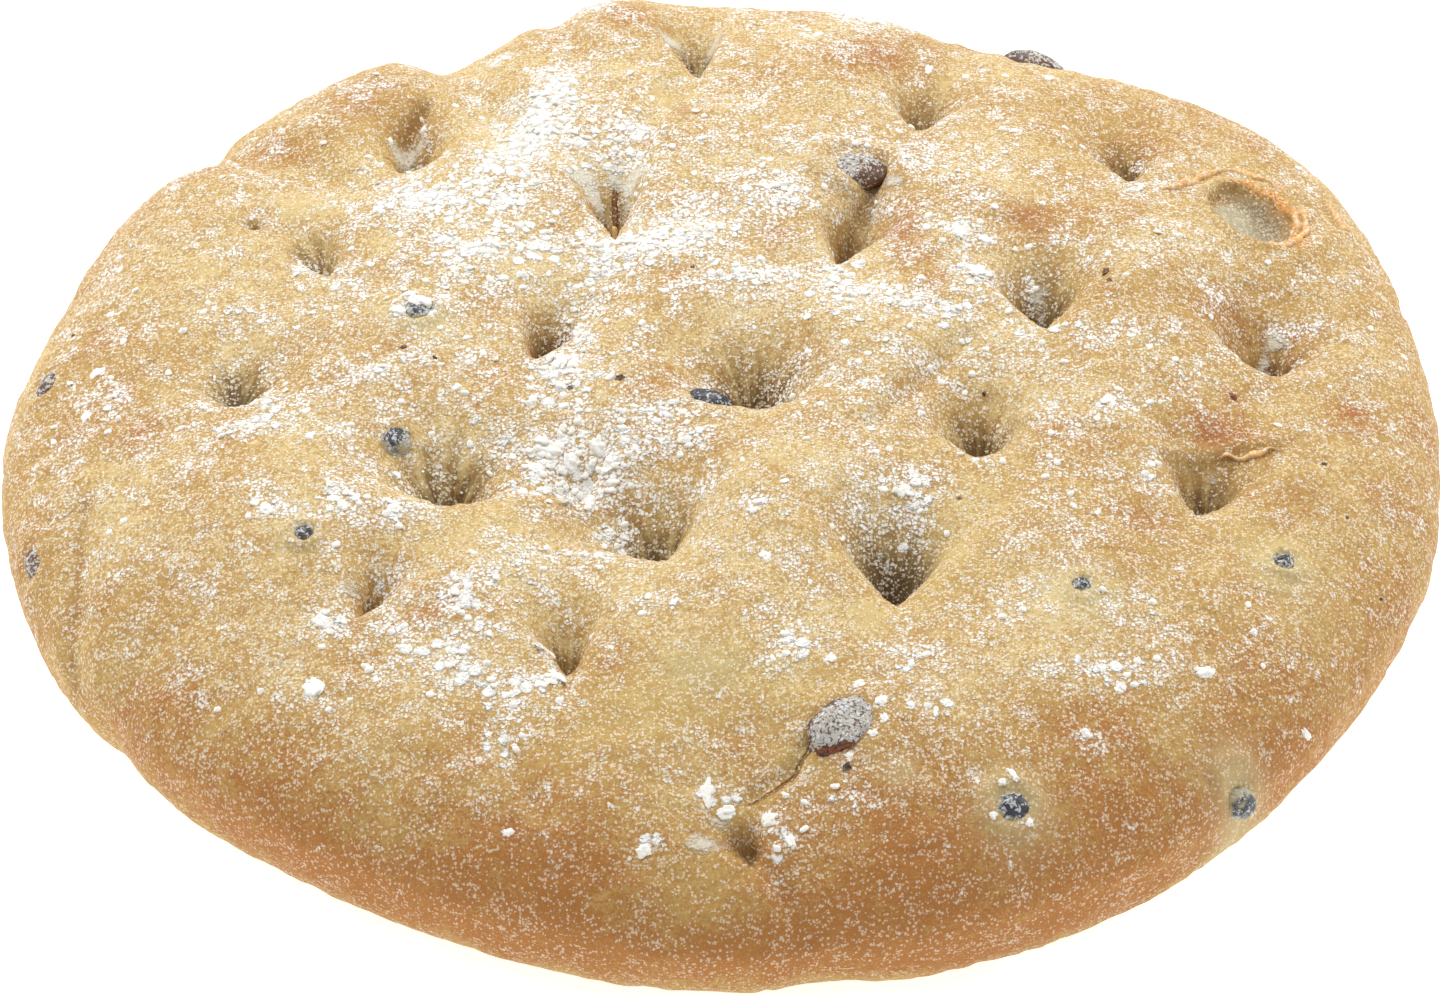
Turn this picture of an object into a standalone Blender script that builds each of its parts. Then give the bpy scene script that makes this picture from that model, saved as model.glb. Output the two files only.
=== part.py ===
"""Round olive focaccia, 213 mm across.

One loaf of dough carries every fingertip pit, fold and blister, and the olive pieces
that show are separate solids, each seated in its own socket in the crust.
Frame: +Z up, the flat base on z = 0, the middle of the loaf on x = y = 0.
The side that faces the eye is -Y.
"""

import math

import bmesh
import bpy
import numpy as np
from mathutils import Euler, Matrix, Vector

MM = 0.001

# The loaf
POLE_Y = 1.5 * MM  # places on the crust are measured from a pole this far behind the origin
LOAF_RADIUS = 106.8 * MM  # radius at the belly, the widest line, before its bulges
CROWN = 35.5 * MM  # height of the plain pillow, before pits, swells and folds
BELLY = 13.0 * MM  # height of the belly above the base
FOOT_INSET = 10.0 * MM  # the flat base ends this far inside the belly
SIDE_ROUNDNESS = 2.6  # superellipse power along the radius: larger is squarer
TOP_ROUNDNESS = 2.2  # superellipse power along the height
FOOT_RINGS = 5  # rows of faces between the belly and the base

# Where the outline swells (+) or is drawn in (-): bearing and half-width in degrees, millimetres
OUTLINE_BULGES = (
    (35, 16, 4.8),
    (63, 11, -5.0),
    (102, 8, 2.1),
    (112, 35, -6.3),
    (115, 4, -2.8),
    (122, 5, 2.0),
    (165, 11, -2.1),
    (215, 3, -1.3),
    (240, 22, -3.4),
    (277.5, 4, -1.4),
    (327.5, 16, -1.6),
    (355, 6, -0.7),
)

# Fingertip pits: x and y of the tip, mouth radius and depth in millimetres, width share, how many
# degrees the long slope is turned from +Y towards -X, and how bluntly the near end closes
PITS = (
    (-4.2, 75.5, 14, 12, 0.48, 5, 0.8),
    (-48.6, 50, 14, 11, 0.5, -8, 2.5),
    (-16.5, 30.5, 14, 12, 0.45, 5, 0.8),
    (30.8, 60.4, 14, 12, 0.55, -10, 1.2),
    (18.3, 24, 15, 12.5, 0.5, -17, 1.0),
    (62.5, 48.8, 14, 9.5, 0.6, 5, 1.0),
    (47.6, 9.9, 15, 12, 0.7, 0, 1.1),
    (81.5, 4.5, 15, 12, 0.8, 0, 1.6),
    (-26.6, 2, 13, 10, 0.6, -20, 0.9),
    (-60, 22.2, 12, 6.5, 0.6, 20, 1.0),
    (4.8, -10, 16, 11.5, 1.05, 0, 3.0),
    (-71, -7, 13, 4.5, 0.9, 0, 2.0),
    (-39.8, -29.2, 16, 11.5, 1.1, 0, 2.2),
    (-9.2, -40.5, 16, 11.5, 0.95, 20, 1.2),
    (24.2, -50, 16, 14, 0.85, 0, 0.9),
    (37, -19.8, 14, 11.5, 0.75, 0, 1.6),
    (69, -28.8, 14, 10, 0.75, -15, 1.0),
    (-21.8, -63, 14, 10, 0.5, 5, 1.0),
    (-50, -52, 12, 7.5, 0.5, -25, 1.0),
    (3.8, -95.8, 7, 4.2, 0.75, 25, 0.9),
    (-20.4, -28, 12, 5, 1.0, 30, 1.5),
)
PIT_SLANT = 0.6  # 0 is pressed straight down, near 1 is pressed in flat, away from the eye
PIT_POINT = 1.1  # 1 is a cone with a pointed tip, 2 is a rounded bowl
PIT_REACH = 2.3  # how far the slope has run out by the mouth radius
DISH_REACH = 19.0  # the dough sags round each pit this far, in millimetres
DISH_DEPTH = 2.2

# Broad rises (+) and sags (-) of the top: x, y, reach and height in millimetres
SWELLS = (
    (-12, 92, 16, 3.5),
    (-55, 68, 16, 3.0),
    (-82, 40, 18, 1.5),
    (25, 75, 18, 1.5),
    (14, 0, 12, 2.0),
    (15, -35, 16, 2.5),
    (-58, -35, 20, 1.5),
    (60, 20, 16, 2.0),
    (80, -60, 22, 1.0),
    (45, -80, 24, 1.5),
    (-60, -75, 22, 1.0),
    (-20, -37, 14, -2.5),
    (-30, 10, 20, -1.0),
    (0, -78, 12, -2.0),
)

# Folds pressed into the crust, or ridges (-): x and y of both ends, half-width and depth in millimetres
FOLDS = (
    (-88, 68, -62, 46, 5.0, 2.2),
    (-46, 84, -34, 56, 5.0, 3.0),
    (-26, 92, -22, 70, 3.0, 1.5),
    (11.8, -79.5, 10.2, -82.4, 1.1, 1.0),
    (8.3, -84.9, 4.5, -87, 1.1, 0.8),
    (4, -96, 14, -108, 2.0, 1.2),
    (-92, -28, -91, -58, 1.6, 1.1),
    (22, -18, 36, 2, 1.7, 1.2),
    (-8, 66, -14, 44, 2.5, 1.4),
    (23.5, 42, 18.8, 28, 1.8, 2.8),
    (-30, -80, -26, -88, 2.0, 1.0),
    (64, -20, 79, -16, 1.6, -0.8),
    (88, 30, 95, 38, 1.8, -1.0),
    (-49.8, 57, -47.2, 64, 1.1, 2.2),
)

# The burst blister by the back right edge
BLISTER_AT = (80.3, 38.3)
BLISTER_RADII = (5.6, 7.2)
BLISTER_TURN = 22.0
BLISTER_DEPTH = 2.8
BLISTER_TILT = 0.6  # how much deeper its floor lies towards the loaf's edge, and shallower inwards
BLISTER_LIP = 1.0

# Olive pieces that show: x, y, length, width, thickness in millimetres, turn in degrees,
# and how far the middle of the piece lies under the crust in millimetres
OLIVES = (
    (16.2, -77.6, 11, 8, 7, 40, 1.1),
    (-47.5, -18.5, 5.5, 5, 5, 60, 0.9),
    (-2, -12, 8, 5, 5, 150, 1.0),
    (50, 83.5, 11, 7, 6, -20, 0.9),
    (-100, 3, 7, 4, 4, 75, 1.0),
    (-99, -33, 8, 4, 4, 95, 1.2),
    (39, -89, 6, 5.5, 5, 0, 1.3),
    (71, -78.5, 6, 5, 5, 20, 1.2),
    (-59, -40.5, 4, 3.6, 4, 0, 1.0),
    (50, -51.5, 4, 3.8, 4, 0, 1.0),
    (79.5, -41, 4.5, 4, 4, 30, 1.0),
    (20.3, 44.3, 10.5, 8, 5, 0, 1.3),
    (-45, 8, 6, 5.2, 5, 20, 1.0),
)
OLIVE_AROUND = 12  # faces round an olive piece
OLIVE_ALONG = 6  # faces from its top to its bottom
SOCKET_GAP = 0.35 * MM  # clearance between an olive piece and its socket

# The mesh
TOP_CELLS = 124  # cells across the top before it is thinned out
LOAF_TRIANGLES = 9200  # about how many triangles the loaf keeps
PROFILE_SAMPLES = 400  # samples of the side profile, for spacing the rows evenly


def rim_radius(bearing):
    """Radius of the belly at a bearing in radians."""
    radius = np.full_like(bearing, LOAF_RADIUS)
    for centre, half_width, out in OUTLINE_BULGES:
        away = np.degrees(bearing) - centre
        away = (away + 180) % 360 - 180
        radius += out * MM * np.exp(-((away / half_width) ** 2))
    return radius


def side_profile():
    """Radius share, height share and tilt of the crust, evenly spaced from the pole to the belly."""
    angle = np.linspace(0, math.pi / 2, PROFILE_SAMPLES)
    share = np.sin(angle) ** (2 / SIDE_ROUNDNESS)
    rise = np.cos(angle) ** (2 / TOP_ROUNDNESS)
    run = np.gradient(share) * LOAF_RADIUS
    drop = -np.gradient(rise) * (CROWN - BELLY)
    tilt = np.arctan2(drop, run)
    steps = np.hypot(np.diff(share) * LOAF_RADIUS, np.diff(rise) * (CROWN - BELLY))
    along = np.concatenate([[0], np.cumsum(steps)])
    return along / along[-1], share, rise, tilt


def disc_from_square(u, v):
    """A square from -1 to 1 laid on a unit disc with cells of even size: distance and bearing."""
    distance = np.maximum(np.abs(u), np.abs(v))
    across = np.abs(u) >= np.abs(v)
    side = np.where(across, v, u) / np.where(distance == 0, 1, np.where(across, u, v))
    bearing = np.where(across, side * math.pi / 4, math.pi / 2 - side * math.pi / 4)
    behind = np.where(across, u < 0, v < 0)
    return distance, bearing + np.where(behind, math.pi, 0)


def turned(x, y, degrees):
    """x and y seen from axes turned by that many degrees."""
    angle = math.radians(degrees)
    return (
        x * math.cos(angle) + y * math.sin(angle),
        y * math.cos(angle) - x * math.sin(angle),
    )


def pit_depth(x, y, pit):
    """Depth of one fingertip pit: a slanted cone, steep where its near end closes to a wedge."""
    at_x, at_y, mouth, depth, width, turn, bluntness = pit
    across, along = turned(x - at_x, y - at_y, turn)
    across = across / width
    steep = 1 - PIT_SLANT**2
    ring = np.sqrt((PIT_SLANT * along) ** 2 + steep * (across**2 + along**2))
    ring = (ring - PIT_SLANT * along) / steep
    wedge = (np.abs(across) - along * bluntness) / (bluntness * (1 - PIT_SLANT))
    ring = (ring**4 + np.clip(wedge, 0, None) ** 4) ** 0.25
    return depth * np.exp(-((PIT_REACH * ring / mouth) ** PIT_POINT))


def fold_depth(x, y, fold):
    """Depth of one straight fold, which fades out past both its ends."""
    x0, y0, x1, y1, half_width, depth = fold
    length = math.hypot(x1 - x0, y1 - y0)
    way_x, way_y = (x1 - x0) / length, (y1 - y0) / length
    along = (x - x0) * way_x + (y - y0) * way_y
    beyond = along - np.clip(along, 0, length)
    off = (y - y0) * way_x - (x - x0) * way_y
    return depth * np.exp(-((off / half_width) ** 2) - (beyond / (2 * half_width)) ** 2)


def blister_depth(x, y):
    """The burst blister: a hollow with a tilted floor inside a thin raised lip."""
    long_way, short_way = turned(x - BLISTER_AT[0], y - BLISTER_AT[1], BLISTER_TURN)
    share = np.hypot(long_way / BLISTER_RADII[0], short_way / BLISTER_RADII[1])
    tilt = 1 + BLISTER_TILT * np.clip(long_way / BLISTER_RADII[0], -1, 1)
    hollow = BLISTER_DEPTH * tilt / (1 + share**8)
    lip = BLISTER_LIP * np.exp(-(((share - 1.15) / 0.18) ** 2))
    return hollow - lip


def relief(x, y):
    """How far the crust lies under the plain pillow shape, at points in metres."""
    x, y = x / MM, y / MM
    depth = blister_depth(x, y)
    deepest = np.zeros_like(x)
    sagging = np.zeros_like(x)
    for pit in PITS:
        deepest = np.hypot(deepest, pit_depth(x, y, pit))
        away = np.hypot(x - pit[0], y - pit[1]) / DISH_REACH
        sagging = np.hypot(sagging, DISH_DEPTH * np.exp(-(away**2)))
    depth = depth + deepest + sagging
    for fold in FOLDS:
        depth = depth + fold_depth(x, y, fold)
    for at_x, at_y, reach, height in SWELLS:
        away = np.hypot(x - at_x, y - at_y)
        depth = depth - height * np.exp(-((away / reach) ** 2))
    return depth * MM


def crust_point(distance, bearing):
    """Points of the top crust for a distance from 0, the pole, to 1, the belly."""
    along, share, rise, tilt = side_profile()
    radius = rim_radius(bearing) * np.interp(distance, along, share)
    height = BELLY + (CROWN - BELLY) * np.interp(distance, along, rise)
    lean = np.interp(distance, along, tilt)
    x, y = radius * np.cos(bearing), radius * np.sin(bearing)
    sunk = relief(x, y) * np.cos(lean) ** 0.5
    radius = radius - sunk * np.sin(lean)
    return radius * np.cos(bearing), radius * np.sin(bearing), height - sunk * np.cos(lean)


def crust_height(x, y):
    """Height of the top crust over a place in metres, and the tilt of the pillow there."""
    bearing = np.arctan2(y, x)
    _, share, rise, tilt = side_profile()
    part_way = np.hypot(x, y) / rim_radius(np.array(bearing))
    height = BELLY + (CROWN - BELLY) * np.interp(part_way, share, rise)
    return float(height), float(np.interp(part_way, share, tilt))


def new_object(name, mesh, colour, roughness):
    """A named object with its own Principled material."""
    obj = bpy.data.objects.new(name, mesh)
    material = bpy.data.materials.new(name)
    material.use_nodes = True
    shader = material.node_tree.nodes["Principled BSDF"]
    shader.inputs["Base Color"].default_value = (*colour, 1)
    shader.inputs["Roughness"].default_value = roughness
    obj.data.materials.append(material)
    return obj


def loaf_mesh():
    """The loaf as a fine mesh: a grid laid over the top, rings down to the foot, a flat base."""
    bm = bmesh.new()
    bmesh.ops.create_grid(bm, x_segments=TOP_CELLS, y_segments=TOP_CELLS, size=1)
    flat = np.array([v.co[:2] for v in bm.verts])
    distance, bearing = disc_from_square(flat[:, 0], flat[:, 1])
    points = np.stack(crust_point(distance, bearing), axis=1)
    for vert, point in zip(bm.verts, points):
        vert.co = point
    rim = [edge for edge in bm.edges if edge.is_boundary]
    for ring in range(1, FOOT_RINGS + 1):
        turn = math.pi / 2 * ring / FOOT_RINGS
        made = bmesh.ops.extrude_edge_only(bm, edges=rim)["geom"]
        rim = [edge for edge in made if isinstance(edge, bmesh.types.BMEdge) and edge.is_boundary]
        before = math.pi / 2 * (ring - 1) / FOOT_RINGS
        inward = FOOT_INSET * (math.cos(before) - math.cos(turn))
        for vert in {v for edge in rim for v in edge.verts}:
            away = Vector((vert.co.x, vert.co.y, 0))
            vert.co -= away.normalized() * inward
            vert.co.z = BELLY * (1 - math.sin(turn))
    bmesh.ops.holes_fill(bm, edges=rim, sides=0)
    bmesh.ops.triangulate(bm, faces=bm.faces)
    bmesh.ops.recalc_face_normals(bm, faces=bm.faces)
    bmesh.ops.translate(bm, vec=(0, POLE_Y, 0), verts=bm.verts)
    mesh = bpy.data.meshes.new("focaccia_loaf")
    bm.to_mesh(mesh)
    bm.free()
    return mesh


def olive_mesh(name, olive, grown):
    """An olive piece, or its socket when grown by the gap: a ball pressed flat and dented."""
    at_x, at_y, length, width, thickness, turn, sunk = olive
    height, lean = crust_height(at_x * MM, at_y * MM)
    depth = float(relief(np.array(at_x * MM), np.array(at_y * MM)))
    bearing = math.atan2(at_y, at_x)
    out = Vector((math.cos(bearing) * math.sin(lean), math.sin(bearing) * math.sin(lean), math.cos(lean)))
    centre = Vector((at_x * MM, at_y * MM + POLE_Y, height)) - out * (depth + sunk * MM)
    bm = bmesh.new()
    bmesh.ops.create_uvsphere(bm, u_segments=OLIVE_AROUND, v_segments=OLIVE_ALONG, radius=1)
    for vert in bm.verts:
        dent = 1 - 0.16 * math.exp(-((vert.co.x - 0.5) ** 2 + (vert.co.y + 0.3) ** 2) / 0.25)
        vert.co.z *= dent if vert.co.z > 0 else 1
    half = Vector((length, width, thickness)) * MM / 2 + Vector((grown, grown, grown))
    along_y = Vector((0, 1, 0)) - out * out.y
    along_y.normalize()
    facing = Matrix((along_y.cross(out), along_y, out)).transposed().to_4x4()
    place = (
        Matrix.Translation(centre)
        @ facing
        @ Euler((0, 0, math.radians(turn))).to_matrix().to_4x4()
        @ Matrix.Diagonal((*half, 1))
    )
    bmesh.ops.transform(bm, matrix=place, verts=bm.verts)
    bmesh.ops.recalc_face_normals(bm, faces=bm.faces)
    mesh = bpy.data.meshes.new(name)
    bm.to_mesh(mesh)
    bm.free()
    return mesh


def build_loaf(parts, cutters):
    """The loaf, thinned out where it is smooth, with a socket cut for each olive piece."""
    loaf = new_object("focaccia_loaf", loaf_mesh(), (0.62, 0.40, 0.17), 0.8)
    parts.objects.link(loaf)
    thin = loaf.modifiers.new("thin_out", "DECIMATE")
    thin.ratio = LOAF_TRIANGLES / len(loaf.data.polygons)
    thin.use_collapse_triangulate = True
    cut = loaf.modifiers.new("olive_sockets", "BOOLEAN")
    cut.operand_type = "COLLECTION"
    cut.collection = cutters
    cut.solver = "EXACT"
    loaf.data.shade_smooth()
    return loaf


def build_olives(parts, cutters):
    """Each olive piece, and the cutter that makes its socket."""
    for number, olive in enumerate(OLIVES, start=1):
        name = f"olive_piece_{number:02d}"
        piece = new_object(name, olive_mesh(name, olive, 0), (0.045, 0.035, 0.04), 0.45)
        piece.data.shade_smooth()
        parts.objects.link(piece)
        socket = bpy.data.objects.new(f"socket_{number:02d}", olive_mesh(name, olive, SOCKET_GAP))
        socket.hide_render = True
        socket.display_type = "WIRE"
        cutters.objects.link(socket)


def main():
    for obj in list(bpy.data.objects):
        bpy.data.objects.remove(obj, do_unlink=True)
    parts = bpy.data.collections.new("focaccia")
    cutters = bpy.data.collections.new("socket_cutters")
    bpy.context.scene.collection.children.link(parts)
    bpy.context.scene.collection.children.link(cutters)
    build_olives(parts, cutters)
    build_loaf(parts, cutters)


main()
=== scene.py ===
"""Looks of a round olive focaccia, 213 mm across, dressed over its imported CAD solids.

The crust repeats the named sizes of the CAD source and adds what is finer: wrinkles, streaks
in the pits, caked flour, torn edges. Flour, specks and the floor belong to this file alone.
Places on the crust are given in millimetres from its pole, 1.5 mm behind the origin.
"""

import math

import bmesh
import bpy
import numpy as np
from bpy.props import FloatProperty, FloatVectorProperty, IntProperty, PointerProperty
from mathutils import Euler, Matrix, Vector, noise
from mathutils.bvhtree import BVHTree


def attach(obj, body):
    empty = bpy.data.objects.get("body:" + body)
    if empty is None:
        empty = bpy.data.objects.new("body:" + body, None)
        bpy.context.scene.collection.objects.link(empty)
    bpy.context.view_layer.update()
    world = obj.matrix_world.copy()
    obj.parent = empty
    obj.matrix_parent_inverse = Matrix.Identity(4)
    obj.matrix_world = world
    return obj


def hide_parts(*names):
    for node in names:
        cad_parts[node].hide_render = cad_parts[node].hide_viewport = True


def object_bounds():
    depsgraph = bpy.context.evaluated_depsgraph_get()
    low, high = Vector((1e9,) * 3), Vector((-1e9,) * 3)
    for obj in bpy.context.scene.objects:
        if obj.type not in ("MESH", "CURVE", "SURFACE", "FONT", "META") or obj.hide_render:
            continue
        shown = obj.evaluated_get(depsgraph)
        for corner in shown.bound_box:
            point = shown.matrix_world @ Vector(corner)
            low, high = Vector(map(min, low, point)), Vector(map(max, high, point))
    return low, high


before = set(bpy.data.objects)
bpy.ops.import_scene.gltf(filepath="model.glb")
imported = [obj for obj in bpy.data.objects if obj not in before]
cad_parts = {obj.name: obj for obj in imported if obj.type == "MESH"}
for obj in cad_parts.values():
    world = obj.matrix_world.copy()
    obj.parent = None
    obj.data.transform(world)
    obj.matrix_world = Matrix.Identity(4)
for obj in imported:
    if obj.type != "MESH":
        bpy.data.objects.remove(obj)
cad_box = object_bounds()

bl_info = {
    "name": "Olive focaccia",
    "version": (1, 0, 0),
    "blender": (4, 5, 0),
    "location": "3D View > Sidebar > Focaccia",
    "description": "Builds a floured olive focaccia over its CAD solids",
    "category": "Mesh",
}

MM = 0.001

# ---------------------------------------------------------------- the loaf, as in the CAD source
POLE_Y = 1.5 * MM
LOAF_RADIUS = 106.8 * MM
CROWN = 35.5 * MM
BELLY = 13.0 * MM
FOOT_INSET = 10.0 * MM
SIDE_ROUNDNESS = 2.6
TOP_ROUNDNESS = 2.2

# Where the outline swells or is drawn in: bearing, half-width in degrees, millimetres out
OUTLINE_BULGES = (
    (35, 16, 4.8), (63, 11, -5.0), (102, 8, 2.1), (112, 35, -6.3), (115, 4, -2.8), (122, 5, 2.0),
    (165, 11, -2.1), (215, 3, -1.3), (240, 22, -3.4), (277.5, 4, -1.4), (327.5, 16, -1.6),
    (355, 6, -0.7),
)

# Fingertip pits: x, y of the tip, mouth radius, depth, width share, turn of the long slope,
# and how bluntly the near end closes: under 1 it is a sharp V
PITS = (
    (-4.2, 75.5, 14, 12, 0.48, 5, 0.8), (-48.6, 50, 14, 11, 0.5, -8, 2.5),
    (-16.5, 30.5, 14, 12, 0.45, 5, 0.8), (30.8, 60.4, 14, 12, 0.55, -10, 1.2),
    (18.3, 24, 15, 12.5, 0.5, -17, 1.0), (62.5, 48.8, 14, 9.5, 0.6, 5, 1.0),
    (47.6, 9.9, 15, 12, 0.7, 0, 1.1), (81.5, 4.5, 15, 12, 0.8, 0, 1.6),
    (-26.6, 2, 13, 10, 0.6, -20, 0.9), (-60, 22.2, 12, 6.5, 0.6, 20, 1.0),
    (4.8, -10, 16, 11.5, 1.05, 0, 3.0), (-71, -7, 13, 4.5, 0.9, 0, 2.0),
    (-39.8, -29.2, 16, 11.5, 1.1, 0, 2.2), (-9.2, -40.5, 16, 11.5, 0.95, 20, 1.2),
    (24.2, -50, 16, 14, 0.85, 0, 0.9), (37, -19.8, 14, 11.5, 0.75, 0, 1.6),
    (69, -28.8, 14, 10, 0.75, -15, 1.0), (-21.8, -63, 14, 10, 0.5, 5, 1.0),
    (-50, -52, 12, 7.5, 0.5, -25, 1.0), (3.8, -95.8, 7, 4.2, 0.75, 25, 0.9),
    (-20.4, -28, 12, 5, 1.0, 30, 1.5),
)
PIT_SLANT = 0.6
PIT_POINT = 1.1
PIT_REACH = 2.3
DISH_REACH = 19.0
DISH_DEPTH = 2.2

# Broad rises and sags: x, y, reach, height
SWELLS = (
    (-12, 92, 16, 3.5), (-55, 68, 16, 3.0), (-82, 40, 18, 1.5), (25, 75, 18, 1.5), (14, 0, 12, 2.0),
    (15, -35, 16, 2.5), (-58, -35, 20, 1.5), (60, 20, 16, 2.0), (80, -60, 22, 1.0),
    (45, -80, 24, 1.5), (-60, -75, 22, 1.0), (-20, -37, 14, -2.5), (-30, 10, 20, -1.0),
    (0, -78, 12, -2.0),
)

# Folds, or ridges where the depth is negative: both ends, half-width, depth
FOLDS = (
    (-88, 68, -62, 46, 5.0, 2.2), (-46, 84, -34, 56, 5.0, 3.0), (-26, 92, -22, 70, 3.0, 1.5),
    (11.8, -79.5, 10.2, -82.4, 1.1, 1.0), (8.3, -84.9, 4.5, -87, 1.1, 0.8),
    (4, -96, 14, -108, 2.0, 1.2), (-92, -28, -91, -58, 1.6, 1.1), (22, -18, 36, 2, 1.7, 1.2),
    (-8, 66, -14, 44, 2.5, 1.4), (23.5, 42, 18.8, 28, 1.8, 2.8), (-30, -80, -26, -88, 2.0, 1.0),
    (64, -20, 79, -16, 1.6, -0.8), (88, 30, 95, 38, 1.8, -1.0), (-49.8, 57, -47.2, 64, 1.1, 2.2),
)

BLISTER_AT = (80.3, 38.3)
BLISTER_RADII = (5.6, 7.2)
BLISTER_TURN = 22.0
BLISTER_DEPTH = 2.8
BLISTER_LIP = 1.0
BLISTER_LIP_AT = 1.15
BLISTER_LIP_WIDTH = 0.18
BLISTER_TILT = 0.6

# Olive pieces, numbered from 1: x, y, length, width, thickness, turn, how far the middle lies
# under the crust, and the look of each: skin (0 slate, 1 brown) and how floury it is
OLIVES = (
    (16.2, -77.6, 11, 8, 7, 40, 1.1, 0.75, 0.95), (-47.5, -18.5, 5.5, 5, 5, 60, 0.9, 0.0, 0.55),
    (-2, -12, 8, 5, 5, 150, 1.0, 0.05, 0.25), (50, 83.5, 11, 7, 6, -20, 0.9, 0.8, 0.5),
    (-100, 3, 7, 4, 4, 75, 1.0, 0.8, 0.4), (-99, -33, 8, 4, 4, 95, 1.2, 0.9, 0.5),
    (39, -89, 6, 5.5, 5, 0, 1.3, 0.0, 0.5), (71, -78.5, 6, 5, 5, 20, 1.2, 0.05, 0.35),
    (-59, -40.5, 4, 3.6, 4, 0, 1.0, 0.0, 0.6), (50, -51.5, 4, 3.8, 4, 0, 1.0, 0.0, 0.65),
    (79.5, -41, 4.5, 4, 4, 30, 1.0, 0.1, 0.6), (20.3, 44.3, 10.5, 8, 5, 0, 1.3, 0.9, 1.05),
    (-45, 8, 6, 5.2, 5, 20, 1.0, 0.0, 0.8),
)

# The piece that is cut to a wedge, and the one that lies flush with the dough
WEDGE = 1
FLUSH = 12
# A piece longer than this, in millimetres, is floury in its middle and has no pale rim
LONG_PIECE = 6.5
# How high the dough rises round the first pieces and round the rest, in millimetres
FIRST_PIECES = 4
FIRST_COLLAR = 0.3
COLLAR = 0.9

# ---------------------------------------------------------------- what shows on the crust
# How much painted shade a pit's wall has, by its place in the list from 0, where that isn't 1
PIT_PAINTED_SHADES = {
    1: 0.8, 4: 0.85, 6: 1.15, 7: 0.85, 8: 1.1, 10: 0.95, 12: 0.95, 14: 1.4, 17: 0.7, 18: 0.55,
    20: 0.35,
}
# How many streaks go round a pit's wall, as waves laid over each other
STREAKS_ROUND = (5, 9, 14, 23)
# One turn round a pit, in millimetres of the noise that streaks its wall
TURN_LENGTH = 30
# The width, in millimetres, over which a point's distance from a fine line is kept
LINE_SPAN = 6
# Heights of the fine relief
HOLE_DEPTH = 1.6 * MM
CREASE_DEPTH = 0.35 * MM
TORN_HEIGHT = 0.4 * MM
# No loose flour lies under this height
LOOSE_FROM = 3 * MM
# Spacing of the corners along a torn edge, in millimetres, and how many round off its turns
TORN_STEP = 0.35
TORN_ROUNDING = 7

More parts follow.
